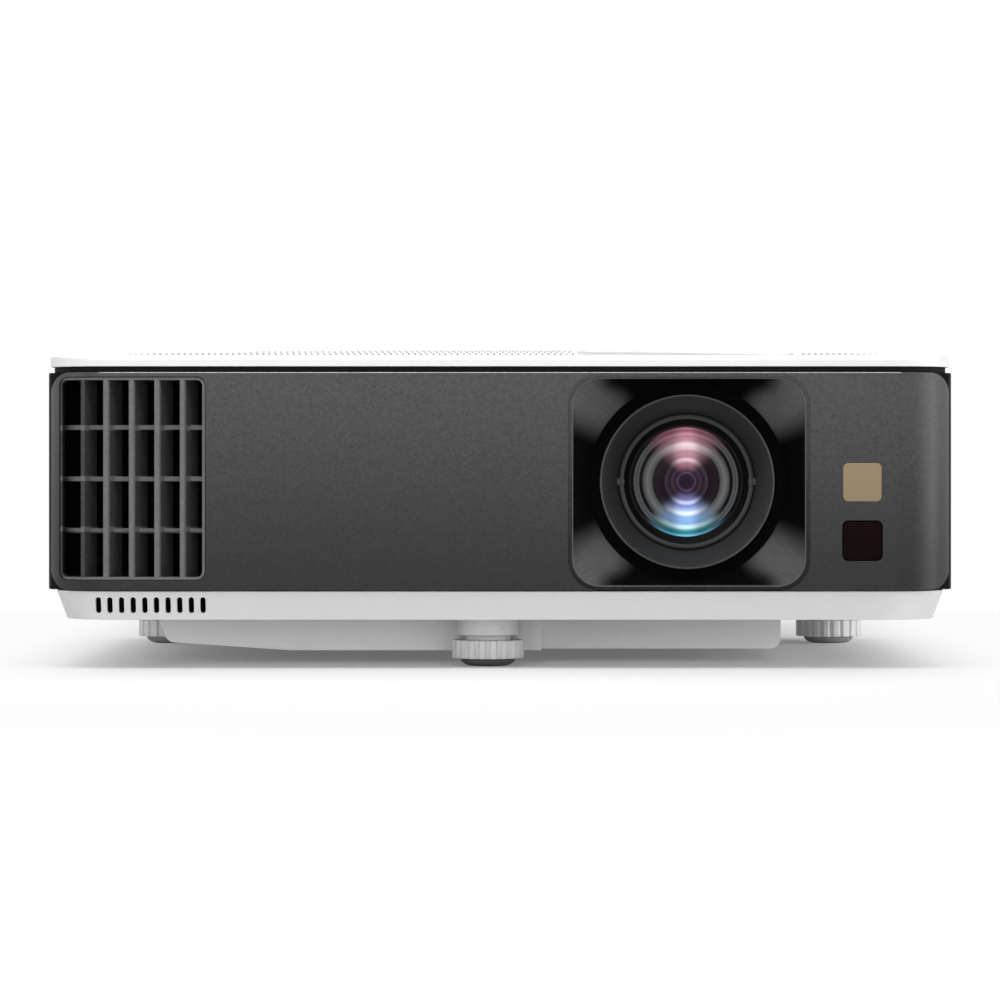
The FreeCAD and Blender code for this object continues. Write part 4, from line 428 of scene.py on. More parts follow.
blueGlare = [
    (0.0, (0.03, 0.018, 0.045)), (0.13, (0.035, 0.02, 0.05)), (0.165, (0.14, 0.11, 0.19)),
    (0.19, (0.04, 0.03, 0.07)), (0.33, (0.14, 0.14, 0.30)), (0.385, (0.52, 0.56, 0.85)),
    (0.44, (0.16, 0.20, 0.44)), (0.52, (0.34, 0.46, 0.80)), (0.575, (0.80, 0.88, 1.0)),
    (0.64, (0.26, 0.42, 0.76)), (0.76, (0.22, 0.42, 0.72)), (0.83, (0.66, 0.90, 1.0)),
    (0.88, (0.10, 0.34, 0.40)), (0.925, (0.02, 0.16, 0.15)), (0.955, (0.06, 0.34, 0.52)),
    (0.985, (0.22, 0.62, 0.90)),
]


def bezelFinish(look):
    # a thin lip round the mouth, grey in the mouth's corners and black along its straight sides: painted sheen in the
    # corners, painted shade on the sides, a painted highlight on the lip, and the rim painted lighter towards the top
    material, shading = newFinish("bezelFade")
    across, _, up = shading.axes(lensCentre)
    turn = shading.maths("ARCTAN2", abs(up), abs(across))
    around = shading.maths("ARCTAN2", up, across)
    radius = shading.radius(across, up)
    # painted sheen: grey and streaked in the mouth's corners; painted shade: black along its straight sides
    corner = turn.within(*look["wedgeFrom"]) * (1 - turn.within(*look["wedgeTo"]))
    streakPlace = shading.node("ShaderNodeCombineXYZ", None, {0: around * 14, 1: radius * 25})
    streaks = shading.node("ShaderNodeTexNoise", None, {"Vector": streakPlace, "Scale": 9.0, "Detail": 4.0})
    grain = shading.noise(0.4 * mm, 2)
    inside = 1 - radius.within(holeRadius - 1 * mm, holeRadius)
    middle = middleOf(bezelBox)
    fromMiddle = shading.axes((middle[0], 0, middle[2]))
    halfWidth, halfHeight = ((bezelBox[1][i] - bezelBox[0][i]) / 2 - look["wall"] for i in (0, 2))
    pastX = (abs(fromMiddle[0]) - (halfWidth - look["corner"])).largest(0.0)
    pastZ = (abs(fromMiddle[2]) - (halfHeight - look["corner"])).largest(0.0)
    outside = shading.radius(pastX, pastZ) - look["corner"]
    # painted shade: no sheen near the middle of the top and bottom
    nearEnd = abs(up).within(*(halfHeight - inset for inset in look["endUp"]))
    ends = nearEnd * (1 - abs(across).within(*look["endAcross"]))
    tone = corner * (0.35 + streaks * 0.75 + grain * 0.2) * (1 - inside) * (1 - ends)
    walls = shading.blend(tone * 0.85, look["black"], look["wedge"])
    # painted highlight: a thin lighter lip at the mouth's edge
    line = outside.within(-0.45 * mm, -0.3 * mm)
    speckle = (shading.noise(0.42 * mm, 2) + shading.noise(1.09 * mm, 1)) * 0.75 + 0.25
    # painted light: the rim lighter towards the top, as on the panel
    fade = shading.axes()[2].within(20 * mm, 110 * mm) * 0.92 + 0.30
    rim = shading.tint(look["rimTone"], fade * speckle)
    lip = shading.blend(outside.within(-0.15 * mm, 0.05 * mm), look["lip"], rim)
    shading.finish(shading.glossy({
        "Base Color": shading.blend(line, walls, lip),
        "Roughness": 0.75 - corner * 0.3,
        "Specular IOR Level": 0.03,
        "Normal": shading.bump(grain + streaks * 2, 0.02 * mm),
    }))
    return material


def hoodFinish():
    # the hood by its radius: a light lip that is a painted highlight, a plain cone, a groove painted black as shade, a
    # ring, then black down to the glass
    material, shading = newFinish("hoodTurned")
    across, _, up = shading.axes(lensCentre)
    radius = shading.radius(across, up)
    zones = shading.ramp(radius / hoodRadius, [
        (0.0, (0.001, 0.001, 0.001)), (0.715, (0.001, 0.001, 0.001)), (0.722, (0.050, 0.050, 0.051)),
        (0.762, (0.034, 0.034, 0.035)), (0.768, (0.001, 0.001, 0.001)), (0.788, (0.001, 0.001, 0.001)),
        (0.796, (0.030, 0.030, 0.0305)), (0.975, (0.024, 0.024, 0.0245)), (0.984, (0.10, 0.10, 0.101)),
        (1.0, (0.05, 0.05, 0.0505)),
    ])
    lines = shading.node("ShaderNodeCombineXYZ", None, {0: radius * 600})
    lathe = shading.node("ShaderNodeTexNoise", None, {"Vector": lines, "Scale": 3.0, "Detail": 3.0})
    grain = shading.noise(0.35 * mm, 2)
    shading.finish(shading.glossy({
        "Base Color": shading.tint(zones, 0.8 + lathe * 0.2 + grain * 0.2),
        "Roughness": 0.42 + lathe * 0.12,
        "Specular IOR Level": 0.12,
        "Normal": shading.bump(grain + lathe, 0.01 * mm),
    }))
    return material


glass = {"spread": (0.20, 0.88), "faint": (0.4, 1.1), "beam": (0.8 * mm, 5.5 * mm), "glow": 0.5, "coat": 0.02,
         "rise": 3.6 * mm, "thickness": 2 * mm, "steps": 40}


def glassFinish(look):
    # a coated front element painted with the rings seen deep inside, painted reflections of the studio's lamps as
    # glare in a bow tie up and down, and a painted glow
    material, shading = newFinish("glassCoated")
    across, _, up = shading.axes(lensCentre)
    share = shading.radius(across, up) / glassRadius
    tilt = shading.maths("ARCTAN2", abs(across), abs(up))
    side = across.within(-2 * mm, 2 * mm)
    above = up.within(-0.6 * mm, 0.6 * mm)
    still = shading.ramp(share, deepRings)
    pink = shading.ramp(share, pinkGlare)
    blue = shading.ramp(share, blueGlare)
    spread = (1 - tilt.within(*look["spread"])) * share.within(0.10, 0.30)
    faint = (1 - tilt.within(*look["faint"])) * 0.10 * share.within(0.2, 0.5)
    # painted highlight: the glare brighter along a narrow upright band through the middle
    beam = 1 - abs(across).within(*look["beam"]) * 0.5
    wisps = shading.noise(2.4 * mm, 2)
    ringNoise = shading.node("ShaderNodeCombineXYZ", None, {0: share * 20})
    fine = shading.node("ShaderNodeTexNoise", None, {"Vector": ringNoise, "Scale": 2.2, "Detail": 3.0})
    glare = shading.tint(shading.blend(above, blue, pink), beam)
    lit = shading.maths("MINIMUM", spread + faint, 1.0)
    colour = shading.blend(lit, still, glare)
    tone = 0.72 + fine * 0.5 + wisps * 0.06 + (side - 0.5) * 0.06
    shading.finish(shading.glossy({
        "Base Color": shading.tint(colour, tone),
        # painted glow: the glass gives off its own painted colour, though it is no lamp
        "Emission Color": shading.tint(colour, tone * look["glow"]),
        "Emission Strength": 1.0,
        "Roughness": 0.3,
        "Specular IOR Level": 0.03,
        "Coat Weight": look["coat"],
        "Coat Roughness": 0.1,
    }))
    return material


finishes.update(bezelFade=bezelFinish(bezel), hoodTurned=hoodFinish(), glassCoated=glassFinish(glass))

# The finish of each of the record's slots.
slotFinish = {
    "white_casing": "coverWhite", "dark_casing": "caseDark", "front_grey": "panelGrey",
    "grille_black": "grilleDark", "bezel_grey": "grilleDark", "badge_metal": "badgeTan",
    "ir_window": "windowBrown", "clear_pipe": "pipeClear", "rear_plate": "rearDark",
    "socket_steel": "socketSteel", "jack_plastic": "jackBlack", "circuit_board": "boardGreen",
    "lens_black": "deepBlack", "ring_plastic": "ringBlack", "lens_glass": "lensClear",
    "cast_alloy": "castAlloy", "bare_alloy": "finAlloy", "tunnel_mirror": "mirrorSilver",
    "wheel_mirror": "mirrorSilver", "motor_steel": "motorSteel", "lamp_plastic": "lampPlastic",
    "reflector_mirror": "mirrorSilver", "quartz": "quartzClear", "fan_black": "deepBlack",
    "insert_brass": "insertBrass", "key_grey": "keyGrey", "foot_plastic": "knobWhite",
    "pad_rubber": "rubberPale",
}
nodeFinish = {node: slotFinish[slot] for node, slot in slotOf.items()}
# the front pad takes the painted-shade rubber and the rear knobs the painted-light plastic
nodeFinish.update(bottom_case="tubWhite", front_foot_pad="rubberDark", case_screws="screwBlack",
                  left_foot_knob="knobPale", right_foot_knob="knobPale")
for node, thing in frame["nodes"].items():
    thing.data.materials.clear()
    thing.data.materials.append(finishes[nodeFinish[node]])
print("finishes:", len(finishes))


def newPiece(name, mesh, finish, body="root", replaces=(), smooth=40):
    # one visible piece on its body; smooth is the angle past which an edge stays sharp
    made = placed(name, mesh)
    mesh.materials.clear()
    mesh.materials.append(finishes[finish])
    if smooth:
        mesh.polygons.foreach_set("use_smooth", [True] * len(mesh.polygons))
        mesh.set_sharp_from_angle(angle=math.radians(smooth))
    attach(made, body)
    if replaces:
        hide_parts(*replaces)
    return made


def meshFrom(name, points, faces, outward=True):
    shape = bmesh.new()
    corners = [shape.verts.new(point) for point in points]
    for face in faces:
        shape.faces.new([corners[i] for i in face])
    bmesh.ops.remove_doubles(shape, verts=shape.verts, dist=1e-7)
    bmesh.ops.dissolve_degenerate(shape, edges=shape.edges, dist=1e-8)
    if outward:
        bmesh.ops.recalc_face_normals(shape, faces=shape.faces)
    return asMesh(name, shape)


def settled(holder):
    # a plain mesh with its modifiers worked in
    bpy.context.view_layer.update()
    seen = holder.evaluated_get(bpy.context.evaluated_depsgraph_get())
    mesh = bpy.data.meshes.new_from_object(seen)
    bpy.data.objects.remove(holder)
    return mesh


# Moulded edges: a merged copy of a CAD piece whose sharp edges are rounded by a small radius.
edgeRadius = {
    "top_cover": 0.22, "lamp_cover": 0.35, "front_panel": 0.22, "middle_case": 0.3, "bottom_case": 0.25,
    "exhaust_grille": 0.22, "side_grille": 0.25, "intake_grille": 0.3, "rear_plate": 0.25,
    "badge_plate": 0.12, "front_ir_window": 0.15, "power_inlet": 0.3, "focus_ring": 0.35, "zoom_ring": 0.35,
    "front_foot_knob": 0.3, "left_foot_knob": 0.3, "right_foot_knob": 0.3,
}
keyNodes = [node for node in frame["nodes"] if node.endswith("_key")]
edgeRadius.update({node: 0.35 for node in keyNodes})
rounding = {"merge": 0.002 * mm, "level": math.radians(0.05), "sharp": math.radians(35), "segments": 2,
            "missing": 0.02, "sameFlat": 0.82, "sameRounded": 0.5}


def camel(node):
    first, *rest = node.split("_")
    return first + "".join(word.capitalize() for word in rest)


# Flat faces with holes are cut through the middle of these, across and front to back, so none closes over a hole.
cutAt = {
    "front_panel": (["lens_bezel", "exhaust_grille", "badge_plate"], []),
    "middle_case": (["lens_bezel", "exhaust_grille", "badge_plate", "rear_plate", "power_inlet"],
                    ["side_grille", "intake_grille"]),
    "top_cover": (keyNodes + ["lamp_cover", "top_ir_window", "lens_bezel"], keyNodes + ["lamp_cover", "focus_ring"]),
}


def mergedCopy(node):
    mesh = frame["nodes"][node].data.copy()
    shape = bmesh.new()
    shape.from_mesh(mesh)
    bmesh.ops.remove_doubles(shape, verts=shape.verts, dist=rounding["merge"])
    across, along = cutAt.get(node, ([], []))
    planes = [(0, centreOf(other)[0]) for other in across] + [(1, centreOf(other)[1]) for other in along]
    for axis, at in planes:
        side = Vector([float(i == axis) for i in range(3)])
        bmesh.ops.bisect_plane(shape, geom=shape.verts[:] + shape.edges[:] + shape.faces[:], dist=1e-6,
                               plane_co=side * at, plane_no=side)
    for face in shape.faces:
        place = face.calc_center_median()
        passed = [sum(place[i] > at for axis, at in planes if axis == i) for i in (0, 1)]
        face.material_index = passed[0] + 30 * passed[1]
    bmesh.ops.dissolve_limit(shape, angle_limit=rounding["level"], verts=shape.verts, edges=shape.edges,
                             delimit={"MATERIAL"})
    weight = shape.edges.layers.float.new("bevel_weight_edge")
    low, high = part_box("lens_bezel")
    for edge in shape.edges:
        middle = (edge.verts[0].co + edge.verts[1].co) / 2
        flush = node == "front_panel" and all(low[i] - 1 * mm < middle[i] < high[i] + 1 * mm for i in (0, 2))
        if edge.is_manifold and edge.calc_face_angle() > rounding["sharp"] and not flush:
            edge[weight] = 1.0
    for face in shape.faces:
        face.material_index = 0
    shape.to_mesh(mesh)
    shape.free()
    return placed(camel(node), mesh)


def refilled(shape):
    # faces whose outline crosses itself once its edges are rounded are filled again with small triangles
    shape.faces.ensure_lookup_table()
    covered = [0.0] * len(shape.faces)
    for corners in shape.calc_loop_triangles():
        a, b, c = (corner.vert.co for corner in corners)
        covered[corners[0].face.index] += (b - a).cross(c - a).length / 2
    poor = [face for face in shape.faces
            if abs(covered[face.index] - face.calc_area()) > max(1e-7, rounding["missing"] * face.calc_area())]
    for face in poor:
        verts, rounded = list(face.verts), face.material_index
        upright = face.normal.to_track_quat("Z", "Y").inverted()
        flat = [upright @ vert.co for vert in verts]
        level = sum(point.z for point in flat) / len(flat)
        points, _, triangles, origins, *_ = delaunay_2d_cdt([p.to_2d() for p in flat], [], [range(len(flat))], 1, 1e-8)
        corners = [verts[origin[0]] if origin else shape.verts.new(upright.inverted() @ Vector((*point, level)))
                   for point, origin in zip(points, origins)]
        shape.faces.remove(face)
        for triangle in triangles:
            if len({corners[i] for i in triangle}) == 3 and not shape.faces.get([corners[i] for i in triangle]):
                shape.faces.new([corners[i] for i in triangle]).material_index = rounded
    return len(poor)


def evenNormals(shape):
    # each corner's normal: that of the plain faces round its point, so only the rounded edges blend
    shape.normal_update()
    normals = []
    for face in shape.faces:
        limit = rounding["sameRounded" if face.material_index else "sameFlat"]
        for vert in face.verts:
            near = [other for other in vert.link_faces if other.normal.dot(face.normal) > limit]
            near = [other for other in near if not other.material_index] or near or [face]
            normals.append(sum((other.normal * other.calc_area() for other in near), Vector()).normalized())
    return normals


def softened(node, radius):
    holder = mergedCopy(node)
    holder.data.materials.append(None)
    edges = holder.modifiers.new("edges", "BEVEL")
    edges.width = radius * mm
    edges.segments = rounding["segments"]
    edges.limit_method = "WEIGHT"
    edges.use_clamp_overlap = False
    edges.material = 1
    mesh = settled(holder)
    shape = bmesh.new()
    shape.from_mesh(mesh)
    poor = refilled(shape)
    normals = evenNormals(shape)
    for face in shape.faces:
        face.material_index = 0
        face.smooth = True
    shape.to_mesh(mesh)
    shape.free()
    mesh.normals_split_custom_set(normals)
    newPiece(camel(node), mesh, nodeFinish[node], bodyOf[node], [node], smooth=None)
    print(node, "rounded,", poor, "faces filled again")


for node, radius in edgeRadius.items():
    softened(node, radius)
print("moulded pieces:", len(edgeRadius))


def turned(name, profile, axisAt, finish, body, replaces=(), axis="Y", steps=128, smooth=40):
    # a closed outline of (place along the axis, radius) turned round an axis
    points, faces = [], []
    for i in range(steps):
        angle = 2 * math.pi * i / steps
        c, s = math.cos(angle), math.sin(angle)
        for along, radius in profile:
            if axis == "Y":
                points.append((axisAt[0] + radius * c, along, axisAt[2] + radius * s))
            else:
                points.append((axisAt[0] + radius * c, axisAt[1] + radius * s, along))
    count = len(profile)
    for i in range(steps):
        here, after = i * count, (i + 1) % steps * count
        for j in range(count):
            k = (j + 1) % count
            faces.append((here + j, here + k, after + k, after + j))
    return newPiece(name, meshFrom(name, points, faces), finish, body, replaces, smooth)


def arc(centre, radius, start, end, steps):
    # points of an arc in a profile, its angles in degrees from the axis's direction
    spots = []
    for i in range(steps + 1):
        angle = math.radians(start + (end - start) * i / steps)
        spots.append((centre[0] + radius * math.cos(angle), centre[1] + radius * math.sin(angle)))
    return spots


# The hood: a rounded rim, a cone, a groove with a ring inside it, then a black cone down to the glass.
hood = {"rimRound": 0.5 * mm, "lip": 0.25 * mm, "coneIn": 6.3 * mm, "coneDepth": 7.5 * mm,
        "grooveWidth": 0.7 * mm, "grooveDepth": 1.6 * mm, "ringWidth": 1.5 * mm, "ringRound": 0.3 * mm,
        "glassSetback": 11.5 * mm, "seatFront": 0.8 * mm, "seatDepth": 2.5 * mm, "wall": 4 * mm}
tabs = {"overlap": 0.4 * mm, "depth": 1.5 * mm, "height": 2.3 * mm, "setback": 0.9 * mm, "round": 0.2 * mm}


def boxIn(shape, centre, size, turn=Matrix()):
    # a box of this size about a centre, turned there
    bmesh.ops.create_cube(shape, size=1, matrix=Matrix.Translation(centre) @ turn @ Matrix.Diagonal((*size, 1)))


def boxBetween(shape, low, high):
    boxIn(shape, [(a + b) / 2 for a, b in zip(low, high)], [b - a for a, b in zip(low, high)])


def roundOff(shape, radius):
    bmesh.ops.bevel(shape, geom=shape.edges[:], offset=radius, segments=2, affect="EDGES")


def makeHood(look):
    front, outer, back = hoodFront, hoodRadius, lensBox[1][1]
    rim = look["rimRound"]
    coneEnd = front + look["coneDepth"]
    mouth = outer - look["coneIn"]
    ringOut = mouth - look["grooveWidth"]
    ringIn = ringOut - look["ringWidth"]
    floor = coneEnd + look["grooveDepth"]
    seat = front + look["glassSetback"]
    profile = [(back, outer)] + arc((front + rim, outer - rim), rim, 90, 180, 4)
    profile += [(front + look["lip"], outer - 2 * rim), (coneEnd, mouth), (floor, mouth), (floor, ringOut)]
    ringRound = look["ringRound"]
    profile += arc((coneEnd + ringRound, ringOut - ringRound), ringRound, 90, 180, 2)
    profile += [(coneEnd + look["lip"], ringIn), (coneEnd + 1.2 * mm, ringIn - 0.05 * mm)]
    seatFront, seatBack = seat - look["seatFront"], seat + look["seatDepth"]
    profile += [(seatFront, glassRadius + 0.5 * mm), (seatFront, glassRadius - 0.1 * mm)]
    profile += [(seatBack, glassRadius - 0.1 * mm), (seatBack, outer - look["wall"]), (back, outer - look["wall"])]
    turned("hood", profile, lensCentre, "hoodTurned", "hood", ["lens_hood"])
    shape = bmesh.new()
    for side in (-1, 1):
        at = (lensCentre[0] + side * (ringIn + mouth) / 2, coneEnd + tabs["setback"], lensCentre[2])
        boxIn(shape, at, (mouth - ringIn + tabs["overlap"], tabs["depth"], tabs["height"]))
    roundOff(shape, tabs["round"])
    newPiece("hoodTabs", asMesh("hoodTabs", shape), "ringBlack", "hood")
    return seat


def makeGlass(look, seat):
    # a shallow dome whose edge sits at the seat
    rise, back = look["rise"], seat + look["thickness"]
    curve = (glassRadius ** 2 + rise ** 2) / (2 * rise)
    reach = math.degrees(math.asin(glassRadius / curve))
    dome = arc((seat - rise + curve, 0), curve, 180, 180 - reach, look["steps"])
    turned("frontGlass", dome + [(back, glassRadius), (back, 0)], lensCentre, "glassCoated",
           "hood", ["front_lens"], smooth=30)


makeGlass(glass, makeHood(hood))


# The bezel: a rounded rectangle whose walls run smoothly in to a round hole, with a short tube behind.
def roundedOutline(halfWidth, halfHeight, corner, count):
    # the outline's points at even angles about its middle
    spots = []
    for i in range(count):
        angle = 2 * math.pi * (i + 0.5) / count
        c, s = math.cos(angle), math.sin(angle)
        reach = min(halfWidth / max(abs(c), 1e-9), halfHeight / max(abs(s), 1e-9))
        inX, inZ = halfWidth - corner, halfHeight - corner
        if abs(c) * reach > inX and abs(s) * reach > inZ:
            middle = abs(c) * inX + abs(s) * inZ
            reach = middle + math.sqrt(middle ** 2 - (inX ** 2 + inZ ** 2) + corner ** 2)
        spots.append((reach * c, reach * s))
    return spots


def makeBezel(look):
    low, high = bezelBox
    rimY, endY, tubeY = low[1] - look["proud"], low[1] + look["depth"], high[1]
    wall, corner, count = look["wall"], look["corner"], look["around"]
    halves = [(high[i] - low[i]) / 2 for i in (0, 2)]
    centre = [(high[i] + low[i]) / 2 for i in (0, 2)]
    outer = roundedOutline(*(half + look["spread"] for half in halves), corner + wall, count)
    mouth = roundedOutline(*(half - wall for half in halves), corner, count)
    shift = (lensCentre[0] - centre[0], lensCentre[2] - centre[1])

    def circle(radius):
        # each point keeps its direction from the middle of the hole
        spots = []
        for x, z in mouth:
            away = math.hypot(x - shift[0], z - shift[1])
            spots.append((shift[0] + (x - shift[0]) * radius / away, shift[1] + (z - shift[1]) * radius / away))
        return spots

    def between(first, second, share):
        return [(a[0] + (b[0] - a[0]) * share, a[1] + (b[1] - a[1]) * share) for a, b in zip(first, second)]

    hole, shell = circle(holeRadius), circle(holeRadius + wall)
    rings = [(outer, endY - 1 * mm), (outer, rimY + 0.1 * mm)]
    rings += [(between(outer, mouth, share), rimY) for share in look["shoulder"]] + [(mouth, rimY + look["rim"])]
    for i in range(1, look["steps"] + 1):
        share = i / look["steps"]
        rings.append((between(mouth, hole, share), rimY + look["rim"] + (endY - rimY) * share ** look["flare"]))
    rings += [(hole, tubeY), (shell, tubeY), (shell, endY + 1.4 * mm), (between(shell, outer, 0.5), endY + 0.9 * mm)]
    points = [(centre[0] + x, y, centre[1] + z) for outline, y in rings for x, z in outline]
    faces = []
    for r in range(len(rings)):
        here, after = r * count, (r + 1) % len(rings) * count
        for i in range(count):
            k = (i + 1) % count
            faces.append((here + i, here + k, after + k, after + i))
    newPiece("bezel", meshFrom("bezel", points, faces), "bezelFade", "root",
             ["lens_bezel"], smooth=50)


makeBezel(bezel)


# The feet's pads: flat below, with a rounded side. The flat and the side are shares of the radius.
pads = {"flat": 0.55, "side": 0.45, "steps": 64}


def makePad(node, look):
    low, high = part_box(node)
    radius, height = (high[0] - low[0]) / 2, high[2] - low[2]
    angles = [math.radians(angle) for angle in range(0, 91, 10)]
    side = [(low[2] + height * (1 - math.cos(angle)), radius * (look["flat"] + look["side"] * math.sin(angle)))
            for angle in angles]
    turned(camel(node), [(low[2], 0)] + side + [(high[2], radius), (high[2], 0)], middleOf((low, high)),
           nodeFinish[node], bodyOf[node], [node], axis="Z", steps=look["steps"])


for node in ("front_foot_pad", "left_foot_pad", "right_foot_pad"):
    makePad(node, pads)


# Painted shade: dark pieces behind the openings, standing for the shade there: leaning blades and a skirt behind the
# exhaust grille, a ring behind the lens gap, and a leaning strip behind the slots of the tub.
grilleShade = {"pitch": 3.2 * mm, "blade": (0.6 * mm, 4.2 * mm), "lean": -62, "behind": 2.0 * mm, "inset": 2 * mm,
          "short": 3 * mm, "skirt": (0.3 * mm, 1.2 * mm), "skirtHeight": (-2 * mm, 2.4 * mm)}
gasket = {"front": 0.1 * mm, "back": 1.1 * mm, "inside": 0.3 * mm, "outside": 1 * mm}
slots = {"first": -136.5 * mm, "pitch": 3.98 * mm, "count": 10, "at": (-115.9 * mm, 22.3 * mm), "lean": 18.6,
         "thick": 0.8 * mm, "height": 7 * mm, "spare": 2 * mm, "round": 0.2 * mm}


# painted shade: each piece is black, set where there is only shade
def paintedShadePiece(name, mesh):
    newPiece(name, mesh, "deepBlack", "root")


def makeGrilleShade(look):
    low, high = grilleBox
    shape = bmesh.new()
    lean = Matrix.Rotation(math.radians(look["lean"]), 4, "Z")
    x = low[0] + look["inset"]
    while x < high[0] - look["inset"]:
        at = (x, high[1] + look["behind"], (low[2] + high[2]) / 2)
        boxIn(shape, at, (*look["blade"], high[2] - low[2] - look["short"]), lean)
        x += look["pitch"]
    (near, far), (under, over) = look["skirt"], look["skirtHeight"]
    boxBetween(shape, (low[0] + 1 * mm, high[1] + near, low[2] + under),
               (high[0] - 1 * mm, high[1] + far, low[2] + over))
    paintedShadePiece("lightBaffle", asMesh("lightBaffle", shape))


def makeLensGapShade(look):
    front, back = (bezelBox[1][1] + look[end] for end in ("front", "back"))
    inside, outside = hoodRadius + look["inside"], holeRadius + look["outside"]
    profile = [(front, inside), (front, outside), (back, outside), (back, inside)]
    turned("gasket", profile, lensCentre, "deepBlack", "root")


def makeSlotShadeStrip(look):
    shape = bmesh.new()
    middle = (look["first"] + look["pitch"] * (look["count"] - 1) / 2, *look["at"])
    size = (look["pitch"] * look["count"] + look["spare"], look["thick"], look["height"])
    boxIn(shape, middle, size, Matrix.Rotation(math.radians(look["lean"]), 4, "X"))
    roundOff(shape, look["round"])
    paintedShadePiece("slotLiner", asMesh("slotLiner", shape))


makeGrilleShade(grilleShade)
makeLensGapShade(gasket)
makeSlotShadeStrip(slots)
print("lens, bezel, pads and dark pieces made")


# A geometry node tree, written the same way as a material.
class Making(Shading):
    def __init__(self, name, sizes):
        tree = bpy.data.node_groups.new(name, "GeometryNodeTree")
        super().__init__(tree)
        face = tree.interface
        face.new_socket("Geometry", in_out="INPUT", socket_type="NodeSocketGeometry")
        face.new_socket("Geometry", in_out="OUTPUT", socket_type="NodeSocketGeometry")
        self.sizes = {}
        for key, value in sizes.items():
            kind = "NodeSocketObject" if isinstance(value, bpy.types.Object) else "NodeSocketFloat"
            self.sizes[key] = face.new_socket(key, in_out="INPUT", socket_type=kind).identifier
        self.values = sizes
        self.start = tree.nodes.new("NodeGroupInput")

    def given(self, key):
        return Wire(self, self.start.outputs[key])

    def made(self, mesh, geometry, finish):
        # runs the tree on a mesh and gives a plain mesh
        real = self.node("GeometryNodeRealizeInstances", None, {0: geometry})
        painted = self.node("GeometryNodeSetMaterial", None, {"Geometry": real, "Material": finishes[finish]})
        self.node("NodeGroupOutput", None, {0: painted})
        holder = placed("holder", mesh)
        modifier = holder.modifiers.new("making", "NODES")
        modifier.node_group = self.tree
        for key, identifier in self.sizes.items():
            modifier[identifier] = self.values[key]
        return settled(holder)


# Rows of short ridges on the cover, staggered like bricks, clear of everything set into it.
dashes = {"Pitch": 2.1 * mm, "Row": 15 * mm, "Length": 12.4 * mm, "Width": 0.95 * mm, "Height": 0.2 * mm}
clearance = {"edge": 5 * mm, "slack": 1.5 * mm, "keys": 6 * mm, "recess": 3.2 * mm, "levels": (0.09, 0.15),
             "steepest": 0.985}


def around(boxes):
    # the box round several boxes
    return [min(box[0][i] for box in boxes) for i in range(3)], [max(box[1][i] for box in boxes) for i in range(3)]


def keepClear():
    # one block over each thing in the cover that the ridges stay away from
    recess = [opening["box_m"] for opening in record["physics"]["openings"] if "ring_recess" in opening["name"]]
    zones = [(around([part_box(node) for node in keyNodes]), clearance["keys"]),
             (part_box("top_ir_window"), clearance["slack"]), (around(recess), clearance["recess"])]
    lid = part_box("lamp_cover")
    for axis in (0, 1):
        for end in (0, 1):
            side = [list(lid[0]), list(lid[1])]
            side[1 - end][axis] = lid[end][axis]
            zones.append((side, clearance["slack"]))
    shape = bmesh.new()
    half = dashes["Length"] / 2
    under, over = clearance["levels"]
    for (low, high), slack in zones:
        boxBetween(shape, (low[0] - slack, low[1] - slack - half, under),
                   (high[0] + slack, high[1] + slack + half, over))
    return placed("keepClear", asMesh("keepClear", shape))


